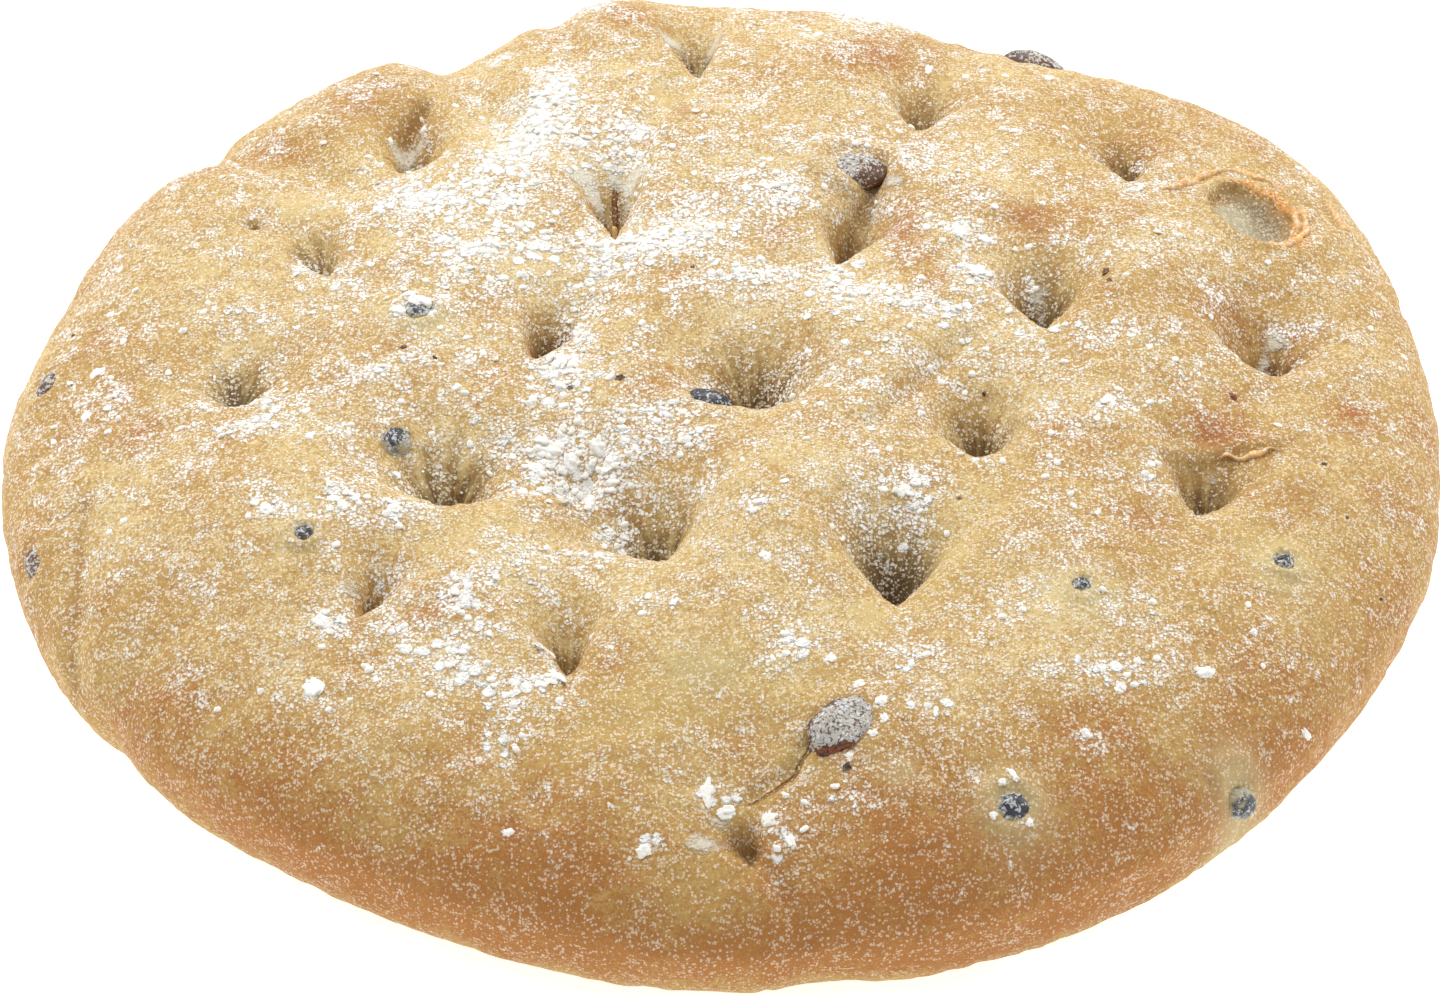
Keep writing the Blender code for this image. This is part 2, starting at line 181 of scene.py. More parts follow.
# Soft oval patches all give: x, y, reach one way and the other, turn of the first, how much.
# Flour lying thick, and bare places as less than none
FLOUR_PATCHES = (
    # the broad dusting
    (-28, 28, 42, 42, 0, 0.31), (30, 22, 40, 40, 0, 0.1), (84, -42, 22, 26, 0, -0.18),
    (72, -74, 8, 6, 0, -0.35), (91, -46, 6, 8, 0, -0.25), (83, -23, 5, 4, 0, -0.25),
    (64, -46, 9, 7, 0, -0.2), (-56, 5, 6, 4, 0, -0.25), (-50, 45, 4, 3, 0, -0.2),
    (-13, -11, 5, 2.5, 0, -0.2), (53, -24, 6, 4, 0, -0.15), (39, -43, 6, 4, 0, -0.15),
    (12, -50, 5, 3, 0, -0.2), (-62, -56, 5, 4, 0, -0.15), (50, -76, 5, 4, 0, -0.2),
    (2, -83, 4, 3, 0, -0.2), (-46, -25, 6, 4, 0, 0.55), (-32, -28, 5, 4, 0, 0.3),
    (-44, -36, 4, 3, 0, 0.3), (-47, -51, 3, 4, 0, 0.4), (-61, -20, 4, 3, 0, 0.3),
    (29, -71, 5, 3, 0, 0.25), (10, -35, 50, 28, 0, 0.14), (-96, 8, 9, 40, 0, 0.14),
    (98, 12, 8, 38, 0, 0.1),
    # the back rim and the broad band that runs down from it
    (-21, 95, 4, 5, 0, 0.9), (24, 94, 8, 7, 0, 1.0), (-35, 79, 2, 3, 0, 0.6),
    (-26, 66, 4, 7, 0, 0.9), (-28, 54, 6, 8, 10, 0.85), (-33, 45, 6, 6, 0, 0.6),
    (-14, 53, 5, 7, 0, 0.5), (-17, 46, 4, 2.5, 0, 0.7), (-46, 36, 6, 5, 0, 0.8),
    (-48, 42, 4, 4, 0, 0.15), (-35, 34, 5, 5, 0, 0.6), (-36, 22, 9, 5, 0, 0.55),
    (-38, -17.5, 6, 4, 0, 0.4), (-6, 35, 6, 4, 0, 0.05), (-12, 24, 8, 4, 0, 0.8),
    (-18, 18, 5, 4, 0, 0.5), (-3, 26, 5, 4, 0, 0.5), (-27, 26, 6, 4, 0, 0.2),
    (-21, 7, 2, 7, 10, 0.7), (-24, -4, 4, 4, 0, 0.9),
    # the left side
    (-63, 24, 2, 5, 0, 0.7), (-57, 18, 3, 4, 0, 0.4), (-66, 10, 10, 6, 10, 0.2),
    (-52, 13, 5, 4, 0, 0.15), (-73, 12, 5, 4, 0, 0.3), (-91, 32, 5, 4, 0, 0.35),
    (-61, -13, 3, 3, 0, 0.4), (-48, -13, 3, 3, 0, 0.5), (-46, -3, 3, 4, 0, 0.25),
    (-90, -5, 5, 5, 0, 0.3), (-75, -5, 2.5, 6, 0, 0.5), (-66, -10, 2.2, 5, 0, 0.8),
    (-69, -16, 6, 2, 0, 0.8), (-51, -6, 4, 4, 0, 0.5), (-56, -18, 3, 4, 30, 0.5),
    (-63, -35, 4, 4, 0, 0.65), (-54, -34, 3.5, 4, 0, 0.7), (-46, -35, 3, 4, 0, 0.6),
    (-55, -56, 3.5, 3, 0, 0.8), (-48, -59, 3, 2, 30, 0.6),
    # the middle
    (-12, -4, 2, 6, -35, 0.35), (-23, -12, 6, 5, 0, 0.4), (-32, -18, 4, 4, 0, 0.45),
    (-17, -44, 4, 6, 0, 0.55), (-28, -47, 5, 4, 0, 0.5), (-10, -15, 4, 2, 0, 0.7),
    (-25, -21, 5, 4, 0, 0.95), (-20, -27, 3.5, 3.5, 0, 0.8), (-15, -36, 3, 3, 0, 0.5),
    (-48, -46, 3, 4, 0, 0.5), (-24, -61, 2, 4, 0, 0.6), (-29, -79.5, 3, 3, 0, 0.4),
    (-26, -27, 4, 2.5, 0, 0.8), (-15, -22, 3.5, 5, -30, 0.8), (-5, -21, 5, 3, 10, 0.5),
    (-4, -31, 4, 3, 0, 0.6), (-15, -33, 5, 3, 0, 0.5), (-30, -40, 6, 4, 0, 0.35),
    (-36, -54, 6, 6, 0, 0.55), (-23.7, -72.6, 6, 3, 0, 0.5), (-38, -64, 7, 6, 0, 0.65),
    (-31, -69, 6, 3, 0, 0.55), (-23, -68, 4, 1.6, 0, 0.8), (-56, -68, 4, 3, 0, 0.6),
    (-30, -80, 3, 5, 0, 0.55), (-9, -55, 5, 2, 0, 0.5), (6, -37, 4, 3, 0, 0.4),
    (25, -32, 6, 5, 0, 0.75), (38, -58, 6, 4, 0, 0.3), (23, -40, 7, 4, 0, 0.55),
    (8, -48, 4, 3, 0, 0.3), (10, -64, 4, 5, 0, 0.65), (26, -66, 7, 4, 0, 0.5),
    (27, -75, 6, 3, 0, 0.45), (16, -89, 5, 4, 0, 0.3),
    # the back right, and one place by the left pit
    (14, 80, 6, 5, 0, 0.3), (51, 74, 2, 1.5, 0, 0.6), (20, 50, 6, 4, 0, 0.4), (8, 35, 5, 4, 0, 0.6),
    (32, 46, 10, 8, 0, 0.25), (37, 26, 4, 3, 0, 0.8), (38, 17, 3.5, 3, 0, 0.85),
    (4, 15, 6, 4, 0, 0.65), (16, 17, 6, 4, 0, 0.5), (28, 9, 7, 4, 0, 0.5),
    (17, 6, 10, 3, -10, 0.45), (34, 7, 4, 4, 0, 0.55), (19, 11, 6, 3, 0, 0.5),
    (38, 15, 3, 3, 0, 0.3), (-73, 0, 4, 4, 0, 0.3), (60, 1, 4, 3, 0, 0.4), (47, 4, 9, 3.5, 0, 0.45),
    (46.2, 18.5, 1.0, 3.2, -5, 1.1), (83.2, 13.5, 2.2, 2.2, 0, 0.9), (62, 42, 6, 3, 0, 0.6),
    (65, 51, 2.5, 3, 0, 0.5), (88, 64, 2, 5, 20, 0.4), (63, 26, 12, 6, 0, 0.2),
    (74, 4, 3, 3, 0, 0.4), (85, 4, 3, 3, 0, 0.4),
    # the right side
    (16, -5, 7, 4, 0, 0.4), (37, -4, 6, 4, 0, 0.4), (55, -12, 6, 5, 0, 0.5),
    (45, -13, 5, 4, 0, 0.35), (67, -4, 4, 2, 0, 0.4), (61, -25, 1.8, 4, 0, 0.6),
    (53, -67, 7, 4, 0, 0.6), (60, -56, 4, 7, 0, 0.35), (75, -52, 3, 4, 0, 0.35),
    (83, -53, 2.5, 2, 0, 0.4),
    # round the small pit at the front
    (0, -87, 5, 2, 0, 0.7), (-10, -95, 3, 3, 0, 0.6), (8, -93, 2.5, 4, 0, 0.7),
    (-4, -94, 3, 2, 0, 0.4),
)

# Flour that has slid into the pits and lies smooth
LAID_FLOUR = (
    (-8.2, 84, 3, 1.4, -25, 0.9), (-1.5, 83, 1.2, 2.6, -30, 0.9), (-50.0, 56.0, 2.6, 1.8, 0, 0.5),
    (-49.4, 53.2, 1.7, 3.0, 8, 0.6), (-46.9, 57.6, 1.2, 1.6, 0, 0.9),
    (-19.2, 38.6, 1.2, 2.8, 28, 1.0), (-21.5, 42.5, 2.6, 2.4, 0, 0.8),
    (-16.6, 44.2, 1.2, 2.6, 0, 0.9), (-13.6, 42.6, 1.2, 3.2, -25, 1.0),
    (-14.6, 37.6, 0.8, 2.0, -20, 0.6), (22.8, 36.2, 0.9, 1.8, -25, 0.9),
    (26.0, 40.4, 1.6, 1.6, 0, 0.8), (47.0, 17.4, 1.6, 2.2, -8, 0.9), (47.4, 13.6, 0.8, 1.6, 0, 0.6),
    (82.6, 12.6, 2.0, 1.6, -25, 0.85), (80.1, 9.0, 1.0, 3.4, -16, 0.65),
    (-2.6, -94.0, 3.4, 1.8, 0, 0.7), (70.5, -21.5, 1.4, 2.4, 0, 0.5),
    (-52.0, -50.0, 1.4, 2.2, 20, 0.55), (-47.6, -50.5, 1.4, 2.6, -10, 0.7),
    (-22.5, -28.5, 1.8, 2.2, 0, 0.7), (-24.2, -60.5, 0.9, 2.2, -15, 0.9),
    (-0.5, -90.2, 2.0, 0.9, -15, 0.7), (-20.5, -57.5, 0.7, 2.6, 0, 0.5),
)

# Crust baked darker
TOASTED_PATCHES = (
    (-56, 66, 7, 9, 10, 0.7), (-67, 54, 9, 4, -25, 0.5), (-16, 90, 5, 6, 0, 0.55),
    (-40, 72, 6, 4, 0, 0.3), (-94, 9, 4, 5, 0, 0.5), (-71, 33, 6, 4, 0, 0.3),
    (23, 76, 8, 8, 0, 0.7), (31, 85, 5, 4, 0, 0.5), (40, 66, 5, 5, 0, 0.4), (8, 25, 3, 2, 0, 0.5),
    (26.5, 29, 3.5, 7, 10, 1.0), (29, 20, 5, 4, 0, 0.8), (84, -40, 20, 25, 0, 0.15),
    (46, 30, 5, 5, 0, 0.7), (58, 12, 5, 5, 0, 0.3), (71, -14, 7, 4, 0, 0.8),
    (60, -36, 7, 4, -15, 0.7), (83, -28, 6, 5, 0, 0.6), (92, -8, 5, 8, 0, 0.5),
    (47, -18, 4, 3, 0, 0.5), (46, -28, 6, 5, 0, 0.3), (-84, -14, 4, 5, 0, 0.5),
    (-14, -65, 4, 3, 0, 0.7), (-41, -56, 4, 3, 0, 0.5), (-26, -82, 5, 4, 0, 0.4),
    (-82, -64, 14, 6, -38, 0.3), (-57, -87, 16, 5, -35, 0.45), (-22, -97, 16, 7, -12, 0.6),
    (32, -100, 18, 6, 8, 0.9), (55, -87, 12, 8, 25, 0.7), (82, -62, 8, 12, -25, 0.3),
    (70, 20, 25, 40, 0, 0.22), (79, -3, 5, 4, 0, 0.35), (64, -51, 13, 10, 0, 0.3),
    (-8, -9, 6, 2.5, 0, 0.5), (-47, 1, 3, 3, 0, 0.6), (-57, 4, 6, 4, 0, 0.4),
    (-26, 3, 3, 3, 0, 0.5), (18, 29, 3, 3, 0, 0.5), (83, -14, 5, 4, 0, 0.35),
    (22, -53, 4, 3, 0, 0.4), (60, -63, 7, 4, 0, 0.25), (71, -75, 7, 5, 0, 0.3),
    (50, -76, 7, 4, 0, 0.3), (-20, -85, 5, 4, 0, 0.3), (-12, 33, 6, 4, 0, 0.25),
    (-27, 3, 4, 4, 0, 0.3),
)

# Bare smooth crust, more yellow
BARE_PATCHES = (
    (-54, 56, 4, 6, 0, 0.7), (-42, 56, 3, 5, 0, 0.5), (54, 50, 4, 6, 0, 0.5),
    (-37, -37, 7, 3, 0, 0.7), (-12, -48, 9, 3, 0, 0.6), (-10, -74, 10, 7, 0, 0.9),
    (0, -66, 8, 5, 0, 0.6), (10, -72, 6, 5, 0, 0.5), (-20, -84, 5, 4, 0, 0.5),
    (32, -46, 5, 7, -20, 0.8), (20, -58, 9, 3, 0, 0.5), (75, -37, 6, 3, -20, 0.7),
    (40, -32, 8, 3, 0, 0.4), (-2, -100, 7, 4, 0, 0.6), (12, -84, 6, 2, -40, 0.5),
    (50, 12, 4, 8, 0, 0.4), (-8, 62, 3, 8, 0, 0.6),
)

# Olive juice that has stained the dough round a piece: x, y, reach, how much
STAINS = (
    (39, -89.3, 4.6, 1.0), (71, -78.3, 5.0, 0.9), (-59, -40.5, 3.5, 0.5), (50, -52, 5.5, 0.7),
    (79, -43, 5.0, 0.7), (-3, -67, 4.5, 0.6), (-45, 7, 5.0, 0.7), (24, -85, 2.5, 0.5),
)

# A small hole in the crust
HOLE = (-70.7, 32.9, 1.2, 1.0, 0, 1.0)

# Reddish marks: x, y, reach, how much
RED_MARKS = (
    (8, 25, 2.2, 0.8), (46, 31, 3.5, 0.6), (26, 27, 3.2, 0.7), (25, 78, 5, 0.5), (-14, 88, 4, 0.5),
    (92, -6.5, 1.8, 0.9), (71, -14, 3, 0.6), (74.4, -7, 1.2, 1.0), (94, -24, 3, 0.4),
    (31.5, 14, 2, 0.6), (-28, -92, 2, 0.6), (-84, -14, 3.5, 0.5), (-5, 58, 2.5, 0.5),
)

# Crisp lines of painted shade under a millimetre wide: both ends, reach to each side, how dark
FINE_LINES = (
    (11.9, -79.6, 9.6, -83.7, 0.8, 0.75), (9.6, -83.7, 7.3, -85.6, 0.8, 0.7),
    (7.3, -85.6, 4.4, -87.1, 0.8, 0.55), (-16.4, 41.0, -16.4, 35.0, 0.8, 0.9),
)

# Soft brown lines of painted shade in the folds: both ends, reach to each side, how dark
CREASES = (
    (-91.5, -27, -92, -60, 0.9, 0.6), (22, -18, 30, -7, 0.9, 0.3), (30, -7, 36, 2, 0.9, 0.3),
    (7, -96, 11, -108, 0.9, 0.2), (22.4, 40.2, 19.8, 33, 1.3, 0.65), (19.8, 33, 18.5, 25, 1.6, 0.8),
    (-7.5, 66, -6.5, 55, 1.8, 0.35), (69, 42.5, 77, 50, 0.9, 0.6),
    (92.5, 45.5, 94.5, 38.5, 0.9, 0.45), (-49.6, 58.0, -47.0, 63.8, 1.8, 0.75),
    (72, -18.8, 80, -17.4, 0.9, 0.4), (-4, -92.5, 3, -95, 0.6, 0.7),
    (-19.5, -60, -21.5, -69, 1.0, 0.5), (-49.5, -48, -50.5, -57, 1.0, 0.35),
    (-29, -4, -27, 8, 1.6, 0.4), (-66, 14, -58, 15, 0.8, 0.3), (-12, -86, 2.5, -92.5, 1.6, 0.3),
)

# Torn edges of crust: width, height and the corners of the line they follow
TORN_EDGES = (
    (1.9, 0.4, ((71.5, -18.8), (76.5, -17.8), (80.5, -17.0))),
    (2.2, 0.8, ((66.5, 41.4), (71.1, 44.6), (75.1, 49.0), (77.3, 50.8))),
    (1.8, 0.5, ((77.1, 50.8), (81.3, 49.4), (84.4, 48.6), (87.0, 45.4))),
    (
        2.0, 0.5,
        ((79.5, 31.0), (82.5, 30.8), (85.7, 31.6), (88.0, 34.6), (88.8, 39.2), (88.4, 44.3)),
    ),
    (1.4, 0.5, ((86.0, 34.0), (87.3, 37.5), (87.2, 42.5))),
    (1.6, 0.7, ((92.4, 47.6), (94.0, 44.6), (95.4, 38.6))),
    (1.5, 1.1, ((-16.5, 33.6), (-16.4, 35.2), (-16.4, 36.8))),
)

# Lumps of flour big enough to name: x, y, length, width, height, turn
LUMPS = (
    (-56.5, -67.7, 3.6, 2.8, 1.5, 20), (-24.5, -20.5, 3.4, 3.0, 1.6, 0),
    (-21.5, -22.2, 2.8, 2.2, 1.5, 40), (-26.8, -23.5, 2.6, 2.0, 1.2, -20),
    (-17.8, -20.6, 2.4, 3.0, 1.3, 10), (-20.0, -18.2, 1.8, 1.6, 1.0, 0),
    (-2.2, -86.4, 1.6, 4.2, 0.9, 5), (0.6, -88.6, 2.8, 1.8, 0.8, -15),
    (-10.5, -95.3, 2.3, 2.0, 1.2, 0), (9.0, -93.2, 1.3, 2.8, 1.0, 5),
    (6.2, -90.5, 1.8, 2.2, 0.9, -20), (66.7, -64.3, 3.4, 1.5, 1.1, -35),
    (54.5, -69.4, 1.6, 1.8, 1.1, 0), (49.4, -77.6, 1.3, 1.7, 1.2, 0),
    (81.0, -66.8, 1.1, 2.3, 0.9, 20), (-46.8, 63.6, 1.0, 1.0, 0.6, 0),
    (-46.5, 60.4, 1.6, 1.9, 1.0, 0), (-51.4, 56.9, 1.3, 1.3, 0.7, 0),
    (-47.5, 7.2, 2.6, 2.4, 1.5, 0), (-44.6, 9.0, 3.4, 2.6, 1.9, 20),
    (-43.0, 6.8, 2.0, 2.0, 1.3, 40), (-46.6, 11.2, 2.6, 2.0, 1.4, -10),
    (-41.0, 11.0, 2.2, 2.0, 1.2, 60), (38.1, 17.0, 3.0, 3.4, 1.2, 0),
    (35.5, 25.6, 2.6, 1.8, 1.3, 0), (39.2, 25.0, 2.6, 1.8, 1.2, 20),
    (-55.6, -56.3, 3.0, 2.0, 1.2, -15), (-24.9, -61.3, 1.5, 3.2, 0.9, 8),
    (-22.8, -67.3, 3.2, 1.2, 0.9, -10), (39.1, -85.3, 2.4, 1.1, 0.9, 0),
    (21.6, -74.2, 1.6, 1.8, 0.8, 0), (21.9, -77.0, 1.3, 1.5, 0.8, 30),
    (20.3, -79.4, 1.5, 1.2, 0.8, 60), (18.6, -70.8, 1.8, 1.3, 0.8, 0),
    (36.4, -91.2, 1.1, 1.0, 0.6, 0), (41.2, -91.6, 1.0, 1.2, 0.6, 40),
    (37.6, -86.7, 1.2, 0.9, 0.6, 0), (14.8, -66.1, 2.0, 1.6, 0.9, 0),
    (5.9, -47.7, 2.2, 1.4, 0.9, 0), (-92.0, 1.8, 2.2, 2.2, 1.0, 0), (-93.0, -7.6, 2.4, 1.6, 0.9, 0),
    (-28.9, -92.0, 1.6, 1.2, 0.6, 0), (-64.5, -35.5, 2.2, 1.8, 1.0, 0),
    (-55.2, -33.8, 2.0, 2.2, 1.1, 0), (-46.5, -35.2, 1.8, 1.8, 0.9, 0),
    (-23.8, -4.0, 2.6, 2.4, 1.2, 0), (32.4, 76.2, 2.6, 1.4, 0.9, 0), (51.4, 74.3, 2.0, 1.4, 0.9, 0),
)

# Dark specks of olive skin and burnt crumb: x, y, size, how brown
SPECKS = (
    (56.9, 17.0, 1.5, 0.6), (57.3, 14.6, 0.8, 0.7), (74.4, -7.0, 1.2, 0.9), (-15.1, -8.2, 1.3, 0.0),
    (-22.1, -9.4, 0.9, 0.0), (-46.6, -0.5, 0.9, 0.8), (-42.0, -2.6, 0.7, 0.2),
    (86.7, -19.8, 0.8, 0.0), (89.3, -29.6, 0.6, 0.1), (93.4, -42.0, 0.7, 0.2),
    (16.8, -84.0, 1.1, 0.1), (-17.0, 34.5, 2.4, 1.0), (38.0, -8.0, 0.6, 0.1),
    (33.5, -33.3, 0.7, 0.2), (-4.5, 17.0, 0.7, 0.6), (-97.0, 14.0, 0.7, 0.3),
)


def paint(red, green, blue):
    """A colour given as 0 to 255 on screen, as the linear values that shaders take."""
    shares = (red / 255, green / 255, blue / 255)
    return tuple(s / 12.92 if s <= 0.04045 else ((s + 0.055) / 1.055) ** 2.4 for s in shares)


# ---------------------------------------------------------------- the stage
# The point that the eye looks at, near the loaf's middle
LOOKED_AT = (-0.42 * MM, -15.43 * MM, 17.72 * MM)
SENSOR_WIDTH = 36
NEAREST, FARTHEST = 0.05, 20
FLOOR_REACH = 4
FLOOR_DROP = 0.05 * MM
# Soft round lamps: name, place, width, share of the lamp's power
LAMPS = (
    ("soft_lamp_back", (-0.1, 0.75, 1.15), 1.1, 1.0),
    ("soft_lamp_left", (-1.0, 0.25, 0.45), 0.7, 0.2),
    ("soft_lamp_right", (1.0, 0.25, 0.45), 0.7, 0.22),
)


# ---------------------------------------------------------------- settings a user would change
def length_of(name, description, default):
    """A setting that is a length."""
    return FloatProperty(name=name, description=description, default=default, unit="LENGTH")


def amount_of(name, description, default):
    """A setting that is a plain number."""
    return FloatProperty(name=name, description=description, default=default)


def count_of(name, description, default, least, most):
    """A setting that is a whole number between two limits."""
    return IntProperty(name=name, description=description, default=default, min=least, max=most)


def colour_of(name, description, default):
    """A setting that is a colour."""
    return FloatVectorProperty(name=name, description=description, subtype="COLOR", default=default)


class CrustSettings(bpy.types.PropertyGroup):
    """Sizes and colours of the crust."""

    cells: count_of("Cells across", "Cells of the crust's mesh across the loaf", 284, 60, 290)
    foot_rings: count_of("Foot rings", "Rows of faces between the belly and the base", 10, 4, 16)
    wrinkle: length_of("Wrinkle height", "Height of the fine wrinkles", 0.16 * MM)
    cake: length_of("Caked flour", "Thickness of flour that has caked", 0.35 * MM)
    streak: length_of("Streak height", "Height of the streaks that run down into a pit", 0.30 * MM)
    pale: colour_of("Pale crust", "Least baked crust", paint(212, 187, 133))
    golden: colour_of("Golden crust", "Middle tone of the crust", paint(185, 149, 89))
    browned: colour_of("Browned crust", "Well baked crust", paint(170, 114, 60))
    # browner crust in a pit's tip under painted shade: the colour the pits darken to
    dark: colour_of("Dark crust", "Crust in a pit's tip or a crease", paint(88, 66, 42))
    film: colour_of("Flour film", "Fine flour that has baked into the crust", paint(243, 234, 212))
    flour: colour_of("Flour", "Flour that lies loose or thick", paint(247, 245, 239))


class FlourSettings(bpy.types.PropertyGroup):
    """Loose flour that lies on the crust as grains of its own."""

    clump_size: length_of("Clump size", "Middle size of the clumps", 1.5 * MM)
    clump_density: amount_of("Clumps per square metre", "Clumps in the thickest flour", 0.7e6)
    crumb_size: length_of("Crumb size", "Middle size of the small lumps", 0.6 * MM)
    crumb_density: amount_of("Crumbs per square metre", "Crumbs in the thickest flour", 0.8e6)
    grain_size: length_of("Grain size", "Middle size of the single grains", 0.34 * MM)
    grain_density: amount_of("Grains per square metre", "Grains in the thickest flour", 0.4e6)
    seed: IntProperty(name="Seed", description="Another seed lays the flour another way", default=7)


class OliveSettings(bpy.types.PropertyGroup):
    """Colours of the olive pieces."""

    around: count_of("Faces round a piece", "Faces round each olive piece", 56, 12, 96)
    slate: colour_of("Slate skin", "Skin of a black olive", paint(58, 62, 72))
    brown: colour_of("Brown skin", "Skin of a brown olive, or where it is cut", paint(92, 58, 40))


class StageSettings(bpy.types.PropertyGroup):
    """The floor, the light and the eye."""

    elevation: FloatProperty(
        name="Elevation",
        description="Angle of the eye above the table",
        default=math.radians(41),
        subtype="ANGLE",
        unit="ROTATION",
    )
    distance: length_of("Distance", "From the eye to the loaf", 0.8)
    lens: amount_of("Focal length", "In millimetres", 137.3)
    floor: colour_of("Floor", "Colour of the floor", (0.9, 0.9, 0.9))
    glow: amount_of("Floor glow", "Light that the floor gives off", 0.7)
    sky: amount_of("Sky light", "Strength of the even light", 0.53)
    lamp: amount_of("Lamp", "Power of the soft lamp, in watts", 15.0)


# ---------------------------------------------------------------- node trees
class Sum:
    """A socket in an expression: sums on it add Math nodes to its tree."""

    def __init__(self, tree, socket):
        self.tree = tree
        self.socket = socket

    def worked(self, operation, first, second):
        """The result of one Math node."""
        return self.tree.node("ShaderNodeMath", {"operation": operation}, {0: first, 1: second})

    def __add__(self, other):
        return self.worked("ADD", self, other)

    def __radd__(self, other):
        return self.worked("ADD", other, self)

    def __sub__(self, other):
        return self.worked("SUBTRACT", self, other)

    def __rsub__(self, other):
        return self.worked("SUBTRACT", other, self)

    def __mul__(self, other):
        return self.worked("MULTIPLY", self, other)

    def __rmul__(self, other):
        return self.worked("MULTIPLY", other, self)

    def __pow__(self, other):
        return self.worked("POWER", self, other)


class Tree:
    """A node tree under construction, of a material or of a geometry modifier."""

    def __init__(self, nodes_and_links):
        self.made = nodes_and_links

    def node(self, kind, settings=None, sockets=None, out=0):
        """Adds a node. Its settings come first, then the values or links of its sockets."""
        node = self.made.nodes.new(kind)
        for name, value in (settings or {}).items():
            setattr(node, name, value)
        for name, value in (sockets or {}).items():
            if isinstance(value, Sum):
                self.made.links.new(value.socket, node.inputs[name])
            else:
                node.inputs[name].default_value = value
        if not node.outputs:
            return None
        return Sum(self, node.outputs[out])

    def step(self, value, low, high):
        """0 under low, 1 over high and smooth between."""
        sockets = {"Value": value, "From Min": low, "From Max": high}
        smooth = {"interpolation_type": "SMOOTHSTEP"}
        return self.node("ShaderNodeMapRange", smooth, sockets, "Result")

    def centred(self, colour, scale):
        """A coloured noise as a vector that points any way from 0, times a scale."""
        sockets = {0: colour, 1: (0.5, 0.5, 0.5)}
        vector = self.node("ShaderNodeVectorMath", {"operation": "SUBTRACT"}, sockets)
        sockets = {0: vector, "Scale": scale}
        return self.node("ShaderNodeVectorMath", {"operation": "SCALE"}, sockets)


class Finish(Tree):
    """A material: noises, blends and the surface it ends in."""

    def __init__(self, name):
        self.material = bpy.data.materials.new(name)
        self.material.use_nodes = True
        super().__init__(self.material.node_tree)
        self.made.nodes.clear()
        self.place = self.node("ShaderNodeTexCoord", out="Object")
        self.shaken = None

    def measure(self, name):
        """What the mesh says at each point, under that name."""
        return self.node("ShaderNodeAttribute", {"attribute_name": name}, out="Fac")

    def noise(self, size, detail=2.0, rough=0.5, place=None):
        """Noise whose blobs are about that many millimetres across."""
        sockets = {"Vector": place or self.place, "Scale": 1 / (size * MM)}
        sockets.update({"Detail": detail, "Roughness": rough})
        return self.node("ShaderNodeTexNoise", None, sockets, "Fac")

    def shaken_place(self, size, reach):
        """The place at each point, shaken by that many millimetres in blobs of that size."""
        sockets = {"Vector": self.place, "Scale": 1 / (size * MM), "Detail": 2.0}
        shake = self.node("ShaderNodeTexNoise", None, sockets, "Color")
        sockets = {0: self.place, 1: self.centred(shake, 2 * reach * MM)}
        return self.node("ShaderNodeVectorMath", {"operation": "ADD"}, sockets)

    def granules(self, size, amount, largest=0.7, soft=0.3):
        """Grains about that many millimetres across, more and larger where the amount is more."""
        if self.shaken is None:
            self.shaken = self.shaken_place(0.7, 0.3)
        sockets = {"Vector": self.shaken, "Scale": 1 / (size * MM), "Randomness": 1.0}
        middle = self.node("ShaderNodeTexVoronoi", {"feature": "F1"}, sockets, "Distance")
        colour = Sum(self, middle.socket.node.outputs["Color"])
        number = self.node("ShaderNodeSeparateColor", None, {0: colour})
        sockets = {0: 1.6 * (amount - number), 1: largest}
        reach = self.node("ShaderNodeMath", {"operation": "MINIMUM"}, sockets)
        return self.step(reach - middle, 0.0, soft)

    def blend(self, share, first, second):
        """The first colour where the share is 0, the second where it is 1."""
        sockets = {0: share, 6: as_colour(first), 7: as_colour(second)}
        return self.node("ShaderNodeMix", {"data_type": "RGBA"}, sockets, 2)

    def end(self, colour, roughness, height, depth, strength=1.0, **fixed):
        """Ends the material in a Principled surface with a Bump under it."""
        sockets = {"Height": height, "Distance": depth, "Strength": strength}
        normal = self.node("ShaderNodeBump", None, sockets)
        sockets = {"Base Color": colour, "Roughness": roughness, "Normal": normal}
        sockets.update({name.replace("_", " "): value for name, value in fixed.items()})
        surface = self.node("ShaderNodeBsdfPrincipled", None, sockets)
        self.node("ShaderNodeOutputMaterial", None, {"Surface": surface})
        return self.material


def as_colour(value):
    """A colour of three numbers with its alpha, or a socket as it is."""
    return value if isinstance(value, Sum) else (*value, 1.0)


# ---------------------------------------------------------------- shapes
def bump(value, middle, reach):
    """1 where a value is at the middle, and softly less to both sides."""
    return np.exp(-(((value - middle) / reach) ** 2))


def rim_radius(bearing):
    """Radius of the belly at a bearing in radians."""
    radius = np.full_like(bearing, LOAF_RADIUS)
    for centre, half_width, out in OUTLINE_BULGES:
        away = (np.degrees(bearing) - centre + 180) % 360 - 180
        radius += out * MM * bump(away, 0, half_width)
    return radius


def side_profile():
    """Even steps from the pole to the belly, and the radius share, height share and tilt there."""
    angle = np.linspace(0, math.pi / 2, 400)
    share = np.sin(angle) ** (2 / SIDE_ROUNDNESS)
    rise = np.cos(angle) ** (2 / TOP_ROUNDNESS)
    tilt = np.arctan2(-np.gradient(rise) * (CROWN - BELLY), np.gradient(share) * LOAF_RADIUS)
    steps = np.hypot(np.diff(share) * LOAF_RADIUS, np.diff(rise) * (CROWN - BELLY))
    along = np.concatenate([[0], np.cumsum(steps)])
    return along / along[-1], share, rise, tilt


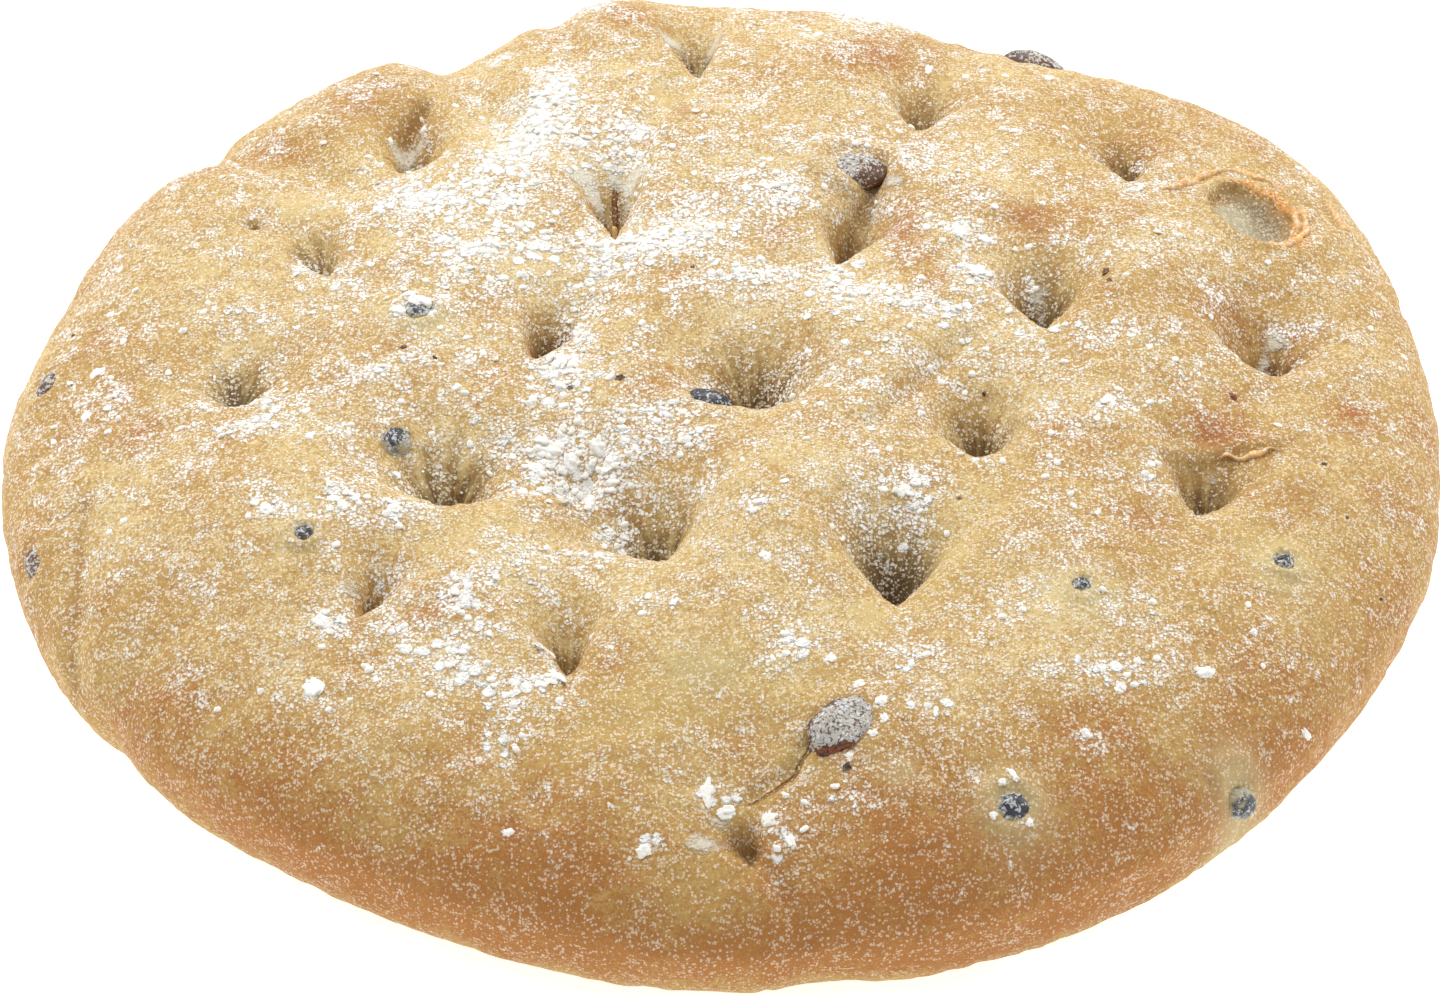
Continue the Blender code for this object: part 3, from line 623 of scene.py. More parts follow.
def disc_from_square(u, v):
    """A square from -1 to 1 laid on a unit disc with cells of even size: distance and bearing."""
    distance = np.maximum(np.abs(u), np.abs(v))
    across = np.abs(u) >= np.abs(v)
    side = np.where(across, v, u) / np.where(distance == 0, 1, np.where(across, u, v))
    bearing = np.where(across, side * math.pi / 4, math.pi / 2 - side * math.pi / 4)
    return distance, bearing + np.where(np.where(across, u < 0, v < 0), math.pi, 0)


def turned(x, y, degrees):
    """x and y seen from axes turned by that many degrees."""
    angle = math.radians(degrees)
    return x * math.cos(angle) + y * math.sin(angle), y * math.cos(angle) - x * math.sin(angle)


def pit_ring(x, y, pit):
    """The ring of a pit that a point lies on: 0 at its tip, 1 at its mouth."""
    at_x, at_y, mouth, _, width, turn, blunt = pit
    across, along = turned(x - at_x, y - at_y, turn)
    across = across / width
    steep = 1 - PIT_SLANT**2
    ring = np.sqrt((PIT_SLANT * along) ** 2 + steep * (across**2 + along**2))
    ring = (ring - PIT_SLANT * along) / steep
    wedge = np.clip((np.abs(across) - along * blunt) / (blunt * (1 - PIT_SLANT)), 0, None)
    return (ring**4 + wedge**4) ** 0.25 / mouth


def pit_share(x, y, pit):
    """How deep a point lies in a pit: 1 at its tip."""
    return np.exp(-((PIT_REACH * pit_ring(x, y, pit)) ** PIT_POINT))


def off_line(x, y, line):
    """How far a point lies to the left of a line, and how far past either end."""
    x0, y0, x1, y1 = line[:4]
    length = math.hypot(x1 - x0, y1 - y0)
    way_x, way_y = (x1 - x0) / length, (y1 - y0) / length
    along = (x - x0) * way_x + (y - y0) * way_y
    return (y - y0) * way_x - (x - x0) * way_y, along - np.clip(along, 0, length)


def line_share(x, y, line):
    """1 on a straight line between two ends, fading out across it and past both ends."""
    off, beyond = off_line(x, y, line)
    reach = line[4]
    return np.exp(-((off / reach) ** 2) - (beyond / (2 * reach)) ** 2)


def blister_ring(x, y):
    """1 on the rim of the burst blister, less inside it, and how far a point lies to its right."""
    long_way, short_way = turned(x - BLISTER_AT[0], y - BLISTER_AT[1], BLISTER_TURN)
    right = long_way / BLISTER_RADII[0]
    return np.hypot(right, short_way / BLISTER_RADII[1]), right


def relief(x, y):
    """How far the crust lies under the plain pillow shape, in millimetres."""
    share, right = blister_ring(x, y)
    depth = BLISTER_DEPTH * (1 + BLISTER_TILT * np.clip(right, -1, 1)) / (1 + share**8)
    depth = depth - BLISTER_LIP * bump(share, BLISTER_LIP_AT, BLISTER_LIP_WIDTH)
    deepest = np.zeros_like(x)
    sagging = np.zeros_like(x)
    for pit in PITS:
        deepest = np.hypot(deepest, pit[3] * pit_share(x, y, pit))
        away = np.hypot(x - pit[0], y - pit[1])
        sagging = np.hypot(sagging, DISH_DEPTH * bump(away, 0, DISH_REACH))
    depth = depth + deepest + sagging
    for fold in FOLDS:
        depth = depth + fold[5] * line_share(x, y, fold)
    for at_x, at_y, reach, height in SWELLS:
        depth = depth - height * bump(np.hypot(x - at_x, y - at_y), 0, reach)
    return depth


def crust_point(distance, bearing):
    """Points of the top crust for a distance from 0, the pole, to 1, the belly."""
    along, share, rise, tilt = side_profile()
    radius = rim_radius(bearing) * np.interp(distance, along, share)
    height = BELLY + (CROWN - BELLY) * np.interp(distance, along, rise)
    lean = np.interp(distance, along, tilt)
    x, y = radius * np.cos(bearing), radius * np.sin(bearing)
    sunk = relief(x / MM, y / MM) * MM * np.cos(lean) ** 0.5
    radius = radius - sunk * np.sin(lean)
    height = height - sunk * np.cos(lean)
    return np.stack([radius * np.cos(bearing), radius * np.sin(bearing), height], 1)


def crumple(points, size, seed):
    """Smooth noise from -1 to 1 at points in millimetres, with bumps about that size."""
    rng = np.random.default_rng(seed)
    at = (points - points.min(axis=0)) / size
    low = np.floor(at).astype(int)
    values = rng.uniform(-1, 1, tuple(low.max(axis=0) + 2))
    part = at - low
    part = part * part * (3 - 2 * part)
    total = np.zeros(len(points))
    for corner in np.ndindex(2, 2, 2):
        weight = np.prod(np.where(corner, part, 1 - part), axis=1)
        total += weight * values[tuple((low + corner).T)]
    return total


def patches(x, y, listed):
    """The sum of soft oval patches."""
    total = np.zeros_like(x)
    for at_x, at_y, one_way, other_way, turn, much in listed:
        u, v = turned(x - at_x, y - at_y, turn)
        total += much * np.exp(-((u / one_way) ** 2) - (v / other_way) ** 2)
    return total


def spots(x, y, listed):
    """The sum of soft round spots."""
    ovals = [(at_x, at_y, reach, reach, 0, much) for at_x, at_y, reach, much in listed]
    return patches(x, y, ovals)


def bare_loaf(cells, rings):
    """The loaf before its fine relief: a grid over the top, rings to the foot, a flat base."""
    bm = bmesh.new()
    bmesh.ops.create_grid(bm, x_segments=cells, y_segments=cells, size=1)
    flat = np.array([v.co[:2] for v in bm.verts])
    for vert, point in zip(bm.verts, crust_point(*disc_from_square(flat[:, 0], flat[:, 1]))):
        vert.co = point
    rim = [edge for edge in bm.edges if edge.is_boundary]
    for ring in range(1, rings + 1):
        before, turn = (math.pi / 2 * step / rings for step in (ring - 1, ring))
        made = bmesh.ops.extrude_edge_only(bm, edges=rim)["geom"]
        rim = [edge for edge in made if isinstance(edge, bmesh.types.BMEdge) and edge.is_boundary]
        inward = FOOT_INSET * (math.cos(before) - math.cos(turn))
        for vert in {v for edge in rim for v in edge.verts}:
            vert.co -= Vector((vert.co.x, vert.co.y, 0)).normalized() * inward
            vert.co.z = BELLY * (1 - math.sin(turn))
    bmesh.ops.holes_fill(bm, edges=rim, sides=0)
    bmesh.ops.recalc_face_normals(bm, faces=bm.faces)
    mesh = bpy.data.meshes.new("crust")
    bm.to_mesh(mesh)
    bm.free()
    return mesh


def vertex_array(mesh, kind="co"):
    """The places or the normals of a mesh's points."""
    values = np.empty(len(mesh.vertices) * 3, np.float32)
    mesh.vertices.foreach_get(kind, values)
    return values.reshape(-1, 3).astype(float)


def write_measure(mesh, name, values):
    """Keeps a number for each point of the mesh, for its material to read."""
    made = mesh.attributes.new(name, "FLOAT", "POINT")
    made.data.foreach_set("value", np.clip(values, 0, 1).astype(np.float32))


def keep_in_box(mesh):
    """Holds every point inside the CAD box."""
    places = vertex_array(mesh)
    low, high = np.array(cad_box[0]), np.array(cad_box[1])
    places = np.clip(places, low, high)
    mesh.vertices.foreach_set("co", places.astype(np.float32).ravel())
    mesh.update()


def pit_measures(x, y):
    """Of the pits: a point's depth, its streaks, its way round the pit and its painted shade."""
    pit, streak, around = np.zeros_like(x), np.zeros_like(x), np.zeros_like(x)
    shade = np.ones_like(x)
    for number, one in enumerate(PITS):
        share = pit_share(x, y, one)
        angle = np.arctan2(x - one[0], y - one[1])
        around = np.where(share > pit, number + 0.5 + angle / (2 * math.pi), around)
        shade = np.where(share > pit, PIT_PAINTED_SHADES.get(number, 1.0), shade)
        pit = np.maximum(pit, share)
        waves = sum(np.sin(k * angle + 1.7 * number + k) for k in STREAKS_ROUND)
        wall = np.clip(share * 4, 0, 1) * np.clip((0.8 - share) * 4, 0, 1)
        streak += waves / len(STREAKS_ROUND) * wall
    return pit, streak, around / len(PITS), pit * shade


def blister_measures(places):
    """Burst blister: floor, torn rim, painted shade at its edge, how far right a point lies."""
    ring, right = blister_ring(places[:, 0], places[:, 1])
    ring = ring + 0.13 * crumple(places, 1.8, 22)
    torn = bump(ring, 1.12, 0.16) * np.clip(0.5 + 0.6 * right, 0.25, 1)
    torn = np.maximum(torn, bump(ring, 1.3, 0.22) * np.clip(right * 1.5 - 0.3, 0, 1))
    torn *= 0.75 + 0.6 * crumple(places, 1.6, 21)
    floor = np.clip((0.95 - ring) * 6, 0, 1)
    return floor, torn, 0.8 * bump(ring, 0.98, 0.12), right


def line_measures(x, y):
    """Of the painted shade lines: how dark they are, and how far a point lies to their left."""
    thin = np.zeros_like(x)
    beside = np.zeros_like(x)
    for line in FINE_LINES:
        share = line[5] * line_share(x, y, line)
        beside = np.where(share > thin, off_line(x, y, line)[0], beside)
        thin = np.maximum(thin, share)
    return thin, beside


def crust_fields(places):
    """What the crust is like at each point in millimetres: flour, toast and the rest."""
    x, y, z = places.T
    top = np.clip((z - 9) / 14, 0, 1)
    side = np.clip((z - 2) / 10, 0, 1)
    base = np.clip((1.2 - z) / 1.2, 0, 1)
    front = np.clip((-y - 55) / 40, 0, 1)
    edge = np.clip((np.hypot(x, y) - 82) / 22, 0, 1)
    pit, streak, around, shade = pit_measures(x, y)
    floor, torn, crease, right = blister_measures(places)
    thin, beside = line_measures(x, y)
    # painted shade in the folds, along the fine lines and at the blister's edge
    crease = np.maximum(crease, thin)
    for line in CREASES:
        crease = np.maximum(crease, line[5] * line_share(x, y, line))
    broad, middle, small = (crumple(places, *one) for one in ((14, 3), (5, 4), (2.2, 5)))
    dusted = patches(x, y, FLOUR_PATCHES)
    bare = patches(x, y, BARE_PATCHES)
    hole = patches(x, y, [HOLE])

    flour = 0.42 - 0.2 * front * edge - 0.08 * edge - 0.08 * front
    flour += 0.04 * np.clip((y - 20) / 60, 0, 1)
    flour += dusted * 0.62 - 0.3 * bare - 0.28 * pit**0.8
    flour += (0.1 * broad + 0.1 * middle + 0.1 * small) * (1 - 0.5 * bare)
    flour = flour * (0.25 + 0.75 * top) + 0.06 * streak
    flour = flour * (1 - torn) * (1 - 0.9 * floor)

    # browner at the front, most at its belly: partly baked colour, partly painted shade
    toast = 0.36 + 0.24 * front + 0.12 * edge + patches(x, y, TOASTED_PATCHES) * 0.55 * side
    toast += 0.1 * broad + 0.05 * middle + 0.04 * dusted - 0.12 * bare + 0.05 * streak
    toast += 0.22 * bump(z, 13, 5) * np.clip((-y - 30) / 40, 0, 1)
    toast -= 0.3 * np.clip((9 - z) / 7, 0, 1)
    toast = toast * (1 - base) + 0.85 * base
    return {
        "flour": np.where(z < 0.3, 0.3, flour * (1 - 0.8 * crease) * (1 - hole)),
        "toast": toast,
        "pit": pit,
        "shade": shade,
        "bare": bare,
        "stain": spots(x, y, STAINS),
        "red": spots(x, y, RED_MARKS),
        "torn": np.maximum(torn, 0),
        "blister": floor,
        # how far right on the blister, for the painted shadow on its floor
        "right": 0.5 + 0.5 * np.clip(right * 1.4 - 0.1, -1, 1),
        # painted shade in the creases and in the small hole
        "crease": np.maximum(crease, hole * 1.2),
        "thin": thin,
        "beside": 0.5 + beside / LINE_SPAN,
        "cake": np.clip(dusted - 0.1 - 0.5 * pit, 0, 1) * top,
        "streak": 0.5 + 0.5 * np.clip(streak, -1, 1),
        "laid": patches(x, y, LAID_FLOUR) * 1.4 - 0.15 + 0.25 * small,
        "hole": hole,
        "around": around,
    }


def olive_collar(x, y):
    """How far the dough rises round the olive pieces, in millimetres."""
    rise = np.zeros_like(x)
    for number, (at_x, at_y, length, width, _, turn, *_) in enumerate(OLIVES):
        u, v = turned(x - at_x, y - at_y, turn)
        share = np.hypot(u / length * 2, v / width * 2)
        much = FIRST_COLLAR if number < FIRST_PIECES else COLLAR
        rise += much * bump(share, 1.15, 0.4)
    return rise


def crust_mesh(settings):
    """The finished crust, with its fine relief and what its material reads."""
    mesh = bare_loaf(settings.cells, settings.foot_rings)
    places = vertex_array(mesh)
    normals = vertex_array(mesh, "normal")
    millimetres = places / MM
    fields = crust_fields(millimetres)
    streak, hole = fields.pop("streak"), fields.pop("hole")
    x, y, z = millimetres.T
    wrinkles = 1.2 * crumple(millimetres, 7, 11) + 1.2 * crumple(millimetres, 3, 12)
    rise = settings.wrinkle * wrinkles
    rise = rise + settings.wrinkle * 0.7 * crumple(millimetres, 1.6, 16)
    valley = np.clip(0.22 - np.abs(crumple(millimetres, 5, 17)), 0, 1)
    rise = rise - settings.wrinkle * 1.4 * valley / 0.22
    rise = rise + settings.streak * (streak * 2 - 1)
    lumpy = 0.6 + 0.7 * crumple(millimetres, 2.6, 13) + 0.5 * crumple(millimetres, 1.5, 14)
    rise = rise + settings.cake * fields["cake"] * lumpy
    rise = rise + olive_collar(x, y) * MM * np.clip(normals[:, 2], 0, 1)
    rise = rise - HOLE_DEPTH * hole - CREASE_DEPTH * np.clip(fields["crease"], 0, 1)
    rise = rise + TORN_HEIGHT * fields["torn"] * crumple(millimetres, 1.7, 15)
    rise = rise * np.clip(z / 3, 0, 1)
    places += normals * rise[:, None]
    places[:, 1] += POLE_Y
    mesh.vertices.foreach_set("co", places.astype(np.float32).ravel())
    for name, values in fields.items():
        write_measure(mesh, name, values)
    keep_in_box(mesh)
    mesh.shade_smooth()
    return mesh


def crust_finish(settings):
    """Baked crust under a film of cream grains, white dust, and clumps where flour lies thick."""
    finish = Finish("baked_crust")
    measured = finish.measure
    crumb = finish.noise(1.0, 2.0, 0.55)
    speck = finish.noise(0.4, 1.5)
    # noises round 0, from broad to fine
    blotchy = finish.noise(16, 3.0) - 0.5
    mottled = finish.noise(4.2, 3.0, 0.55) - 0.5
    patchy = finish.noise(2.2, 2.0, 0.6) - 0.5
    crumbly = crumb - 0.5
    specked = speck - 0.5
    flour, toast, pit, cake = (measured(name) for name in ("flour", "toast", "pit", "cake"))
    wall = finish.step(pit, 0.12, 0.6)
    sockets = {0: measured("around") * (TURN_LENGTH * len(PITS) * MM), 1: pit * (2 * MM)}
    down_pit = finish.node("ShaderNodeCombineXYZ", None, sockets)
    streaks = finish.noise(1.0, 2.0, 0.6, down_pit) - 0.5

    # baked crust, from pale to browned, and in the pits browner crust under painted shade
    tone = toast + 1.1 * blotchy + 0.9 * mottled + 0.9 * crumbly + 1.2 * specked
    tone = tone + 1.2 * wall * streaks
    crust = finish.blend(finish.step(tone, 0.0, 0.45), settings.pale, settings.golden)
    crust = finish.blend(finish.step(tone, 0.4, 1.0), crust, settings.browned)
    crust = finish.blend(0.5 * measured("bare"), crust, paint(196, 168, 100))
    crust = finish.blend(0.75 * measured("red"), crust, paint(164, 94, 58))
    # painted shade in the pits, deepest at the tip and streaked down the walls
    shade = measured("shade") + 0.9 * streaks * wall
    crust = finish.blend(0.9 * finish.step(shade, 0.2, 0.85), crust, settings.dark)

    # the burst blister's floor, with painted shadow towards its right wall, and its torn rim
    # painted shadow: the floor darkens towards the right wall
    right = measured("right") + 0.9 * specked + 0.5 * crumbly - 0.25
    floor = finish.blend(right, paint(170, 160, 130), paint(124, 88, 54))
    grainy = finish.step(speck + 0.4 * crumbly, 0.46, 0.6)
    floor = finish.blend(0.55 * grainy, floor, paint(220, 214, 192))
    crust = finish.blend(measured("blister") * 0.95, crust, floor)
    torn = finish.blend(finish.step(speck, 0.35, 0.65), paint(226, 176, 106), paint(190, 122, 64))
    torn_share = finish.step(measured("torn") + 0.6 * crumbly, 0.3, 0.7)
    crust = finish.blend(0.92 * torn_share, crust, torn)

    # creases and fine lines darkened with painted shade, and stains
    crease = measured("crease")
    crust = finish.blend(0.8 * crease * crease, crust, paint(116, 76, 40))
    beside = LINE_SPAN * (measured("beside") - 0.5) + 0.8 * crumbly
    beside = finish.node("ShaderNodeMath", {"operation": "ABSOLUTE"}, {0: beside})
    drawn = finish.step(measured("thin") + 0.5 * crumbly, 0.12, 0.5)
    line = (1 - finish.step(beside, 0.1, 0.45)) * drawn
    crust = finish.blend(0.62 * line, crust, paint(122, 80, 44))
    crust = finish.blend(0.6 * measured("stain"), crust, paint(206, 198, 152))

    # flour: a veil, the film, dust, clumps and what lies smooth in the pits
    loose = flour + 1.8 * mottled + 0.9 * patchy - 0.35 * measured("blister")
    veil = finish.step(loose, 0.2, 0.9) * (1 - wall)
    crust = finish.blend(0.07 * veil, crust, settings.film)
    toasted = finish.step(toast, 0.45, 0.85)
    film = finish.granules(0.38, 0.58 + 0.5 * loose + 1.1 * crumbly - 0.12 * wall)
    dust = finish.granules(0.55, 1.5 * loose + 0.8 * crumbly - 0.12 - 0.1 * wall)
    clump = finish.granules(1.8, 1.35 * cake + 0.9 * patchy + 0.5 * crumbly, 0.68)
    laid = measured("laid") + 0.9 * crumbly + 0.6 * specked + 0.5 * patchy
    laid = finish.step(laid + 0.7 * streaks, 0.2, 0.85)
    colour = finish.blend(film * (0.62 - 0.15 * toasted), crust, settings.film)
    white = finish.step(loose, 0.3, 0.9)
    dusty = finish.blend(white, settings.film, settings.flour)
    colour = finish.blend(dust * (0.68 + 0.24 * white), colour, dusty)
    colour = finish.blend(finish.step(clump, 0.0, 0.5) * 0.97, colour, settings.flour)
    # flour lying smooth in the pits is a greyer white: painted shade
    colour = finish.blend(laid * 0.72, colour, paint(224, 220, 206))
    cover = finish.step(film + dust + clump + laid, 0.0, 1.0)
    height = clump * 1.5 + dust * 0.5 + laid + 0.6 * crumb + 0.35 * speck - 1.4 * line
    roughness = 0.66 + 0.22 * cover
    return finish.end(colour, roughness, height, 0.25 * MM, Specular_IOR_Level=0.15)


def flour_finish():
    """Loose flour: off-white, powdery, a little toasted here and there."""
    finish = Finish("loose_flour")
    speckle = finish.noise(0.4, 2.0, 0.6)
    toasted = finish.step(finish.noise(2.0), 0.5, 0.8) * 0.3
    toasted = toasted + finish.step(speckle, 0.55, 0.7) * 0.25
    colour = finish.blend(toasted, paint(248, 246, 240), paint(228, 212, 178))
    return finish.end(colour, 0.95, speckle, 0.2 * MM, 0.8, Specular_IOR_Level=0.1)


def olive_finish(settings):
    """Olive skin and flesh under flour that lies in grains."""
    finish = Finish("baked_olive")
    flour, brown, cut, rim = (finish.measure(name) for name in ("flour", "brown", "cut", "rim"))
    mottle = finish.noise(1.6, 3.0, 0.6)
    crumb = finish.noise(0.6, 2.0, 0.6)
    mottled = mottle - 0.5
    brownish = finish.blend(mottle, settings.brown, paint(136, 92, 60))
    skin = finish.blend(brown, settings.slate, brownish)
    skin = finish.blend(finish.step(mottle, 0.35, 0.7) * 0.5, skin, paint(34, 28, 30))
    flesh = finish.blend(finish.step(crumb, 0.4, 0.6), paint(142, 74, 34), paint(56, 30, 22))
    skin = finish.blend(cut, skin, flesh)
    skin = finish.blend(0.85 * rim, skin, paint(198, 184, 144))
    fine = finish.granules(0.38, (0.3 + 1.1 * flour + 0.9 * mottled) * (1 - cut), 0.85)
    lumps = finish.granules(0.75, (flour + mottled) * (1 - cut), 0.66, 0.4)
    powder = finish.blend(brown, paint(204, 206, 206), paint(214, 206, 192))
    colour = finish.blend(fine * 0.8, skin, powder)
    colour = finish.blend(finish.step(lumps, 0.0, 0.5) * 0.8, colour, paint(232, 233, 232))
    cover = finish.step(fine + lumps, 0.0, 1.0)
    height = mottle * 0.6 + fine * 0.4 + lumps
    return finish.end(colour, 0.42 + 0.48 * cover, height, 0.3 * MM)


def speck_finish():
    """Dark specks, from black to brown as the mesh says."""
    finish = Finish("dark_speck")
    mottle = finish.noise(0.7, 2.0)
    colour = finish.blend(finish.measure("brown"), paint(46, 38, 38), paint(128, 72, 36))
    colour = finish.blend(finish.step(mottle, 0.45, 0.75) * 0.5, colour, paint(196, 176, 140))
    return finish.end(colour, 0.6, mottle, 0.15 * MM, 0.7)


def torn_finish(settings):
    """Thin torn crust: orange-brown in mottles, with a little flour."""
    finish = Finish("torn_crust")
    mottle = finish.noise(1.4, 3.0, 0.6)
    colour = finish.blend(finish.step(mottle, 0.3, 0.7), paint(232, 190, 124), paint(208, 154, 90))
    flour = finish.step(finish.noise(0.5, 2.0, 0.6), 0.5, 0.62) * 0.5
    colour = finish.blend(flour, colour, settings.flour)
    return finish.end(colour, 0.7, mottle, 0.15 * MM, 0.7, Specular_IOR_Level=0.3)


# ---------------------------------------------------------------- laying things on the crust
def new_piece(name, mesh, finish, replaced=None):
    """A finished piece on the loaf's body, with its material, slot and the node it stands for."""
    piece = bpy.data.objects.new(name, mesh)
    bpy.context.scene.collection.objects.link(piece)
    piece.data.materials.clear()
    piece.data.materials.append(finish)
    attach(piece, "root")
    if replaced:
        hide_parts(replaced)
    return piece


def needed(name):
    """An object that an earlier operator has made."""
    if name not in bpy.data.objects:
        raise RuntimeError(f"{name} isn't there yet: build it first")
    return bpy.data.objects[name]


class Ground:
    """Finished pieces, for laying things on."""

    def __init__(self, *names):
        points, faces = [], []
        for name in names:
            mesh = needed(name).data
            # the loaf's base is one face with many corners: nothing is laid on it
            small = [p.vertices for p in mesh.polygons if len(p.vertices) < 5]
            faces += [[len(points) + k for k in corners] for corners in small]
            points += [v.co.copy() for v in mesh.vertices]
        self.tree = BVHTree.FromPolygons(points, faces)

    def under(self, x, y):
        """The place and the normal of the crust under x and y, in millimetres from the pole."""
        above = Vector((x * MM, y * MM + POLE_Y, 0.1))
        place, normal, _, _ = self.tree.ray_cast(above, Vector((0, 0, -1)))
        if place is None:
            raise RuntimeError(f"no crust under {x}, {y}")
        return place, normal

    def seat(self, x, y, turn, sink=0.0):
        """A matrix that seats a shape on the crust, its Z along the normal."""
        place, normal = self.under(x, y)
        facing = normal.to_track_quat("Z", "Y").to_matrix().to_4x4()
        spin = Matrix.Rotation(math.radians(turn), 4, "Z")
        return Matrix.Translation(place - normal * sink * MM) @ facing @ spin


def rough_ball(bm, seat, size, seed, fineness, roughness):
    """Adds a lumpy ball of the given size in millimetres."""
    made = bmesh.ops.create_icosphere(bm, subdivisions=fineness, radius=0.5)["verts"]
    for vert in made:
        at = vert.co.normalized() + Vector((seed * 7.3, seed * 3.1, 0))
        lobes = noise.noise(at * 1.7) + 0.6 * abs(noise.noise(at * 3.2)) + 0.2 * noise.noise(at * 7)
        vert.co *= 1 + roughness * lobes
        vert.co = Vector((vert.co.x * size[0], vert.co.y * size[1], vert.co.z * size[2])) * MM
    bmesh.ops.transform(bm, matrix=seat, verts=made)
    return made


def mesh_from(bm, name):
    """Turns a bmesh into a smooth mesh that faces outwards."""
    bmesh.ops.recalc_face_normals(bm, faces=bm.faces)
    mesh = bpy.data.meshes.new(name)
    bm.to_mesh(mesh)
    bm.free()
    mesh.shade_smooth()
    return mesh


def olive_seat(at_x, at_y, sunk):
    """The middle of an olive piece, and its axes with Z out of the crust."""
    bearing = math.atan2(at_y, at_x)
    _, share, rise, tilt = side_profile()
    part_way = math.hypot(at_x, at_y) * MM / float(rim_radius(np.array(bearing)))
    height = BELLY + (CROWN - BELLY) * float(np.interp(part_way, share, rise))
    lean = float(np.interp(part_way, share, tilt))
    depth = float(relief(np.array(float(at_x)), np.array(float(at_y))))
    aslant = math.sin(lean)
    out = Vector((math.cos(bearing) * aslant, math.sin(bearing) * aslant, math.cos(lean)))
    centre = Vector((at_x * MM, at_y * MM + POLE_Y, height)) - out * (depth + sunk) * MM
    along_y = (Vector((0, 1, 0)) - out * out.y).normalized()
    return centre, Matrix((along_y.cross(out), along_y, out)).transposed().to_4x4()


def olive_mesh(name, olive, settings, seed):
    """An olive piece: the CAD's flattened ball, with wrinkled skin and flour on top."""
    at_x, at_y, length, width, thickness, turn, sunk, brown, floury = olive
    centre, facing = olive_seat(at_x, at_y, sunk)
    spin = Euler((0, 0, math.radians(turn))).to_matrix().to_4x4()
    bm = bmesh.new()
    around = settings.around
    bmesh.ops.create_uvsphere(bm, u_segments=around, v_segments=around // 2, radius=1)
    fields = {"flour": [], "brown": [], "cut": [], "rim": []}
    for vert in bm.verts:
        at = vert.co * 1.6 + Vector((seed * 5.1, 0, 0))
        if seed == WEDGE:
            vert.co /= sum(abs(way) ** 2.8 for way in vert.co) ** (1 / 2.8)
            vert.co *= 0.93 + 0.16 * noise.noise(at * 0.9)
        ridges = abs(noise.noise(Vector((at.x * 1.2, at.y * 3.0, at.z * 2)))) * 2
        vert.co *= 1 - 0.05 * ridges + 0.05 * noise.noise(at * 1.4)
        dent = 1 - 0.16 * math.exp(-((vert.co.x - 0.5) ** 2 + (vert.co.y + 0.3) ** 2) / 0.25)
        vert.co.z *= dent if vert.co.z > 0 else 1
        reach = math.hypot(vert.co.x, vert.co.y)
        spread = 1.25 - 0.85 * reach**4 if length > LONG_PIECE else 0.7 + 0.5 * reach**3
        if seed == FLUSH:
            spread = 1.1 - 1.1 * vert.co.x + 0.5 * vert.co.y
        fields["flour"].append(floury * spread + 0.45 * noise.noise(at * 2))
        merges = (reach - 0.6) * 4 + 1.8 * noise.noise(at * 1.7)
        fields["rim"].append(merges if length < LONG_PIECE else 0.0)
        fields["brown"].append(brown + 0.35 * noise.noise(at))
        fields["cut"].append(0.0)
    half = Vector((length, width, thickness)) * MM / 2
    place = Matrix.Translation(centre) @ facing @ spin @ Matrix.Diagonal((*half, 1))
    bmesh.ops.transform(bm, matrix=place, verts=bm.verts)
    if seed == WEDGE:
        for number, vert in enumerate(bm.verts):
            low = facing.inverted() @ (vert.co - centre)
            along = low.x / MM * 0.1 - low.y / MM
            fields["cut"][number] = (along - 3.5) * 2.5 - max(0.0, low.x / MM - 2.0)
            fields["rim"][number] = (low.x / MM - 3.4) * 0.8 + 1.2 * noise.noise(vert.co * 900)
            fields["flour"][number] *= 1.1 - min(1.0, max(0.0, (low.y - low.x) / MM - 3.2) * 0.8)
    mesh = mesh_from(bm, name)
    for field, values in fields.items():
        write_measure(mesh, field, np.array(values))
    return mesh


def rounded(values):
    """The values along a line, with its corners rounded off."""
    padded = np.pad(values, TORN_ROUNDING // 2, "edge")
    return np.convolve(padded, np.ones(TORN_ROUNDING) / TORN_ROUNDING, "valid")


def ridge_along(bm, ground, corners, width, height, seed):
    """A torn edge of crust: a thin uneven ridge along a line with corners."""
    ends = np.array(corners, float)
    reached = np.concatenate([[0], np.cumsum(np.hypot(*np.diff(ends, axis=0).T))])
    steps = int(reached[-1] / TORN_STEP)
    along = np.linspace(0, reached[-1], steps + 1)
    x, y = (rounded(np.interp(along, reached, way)) for way in ends.T)
    ways = np.stack([-np.gradient(y), np.gradient(x)], 1)
    made = []
    for step, way in enumerate(ways / np.linalg.norm(ways, axis=1)[:, None]):
        at = along[step] * 0.45
        wave, tall, wide = (noise.noise(Vector((at, seed, k))) for k in (0.0, 3.0, 6.0))
        fade = math.sin(math.pi * (0.02 + 0.96 * step / steps)) ** 0.5
        place, normal = ground.under(x[step] + way[0] * wave * 0.7, y[step] + way[1] * wave * 0.7)
        half = Vector((*way, 0)) * width * fade * (0.5 + 0.35 * wide) * MM
        up = normal * height * fade * (0.9 + 0.9 * tall) * MM
        foot = place - normal * 0.3 * MM
        row = (foot - half, place - half * 0.6 + up * 0.8, place + half * 0.1 + up, foot + half)
        made.append([bm.verts.new(point) for point in row])
    for one, two in zip(made, made[1:]):
        for k in range(4):
            bm.faces.new((one[k], one[(k + 1) % 4], two[(k + 1) % 4], two[k]))
    bm.faces.new(made[0])
    bm.faces.new(reversed(made[-1]))


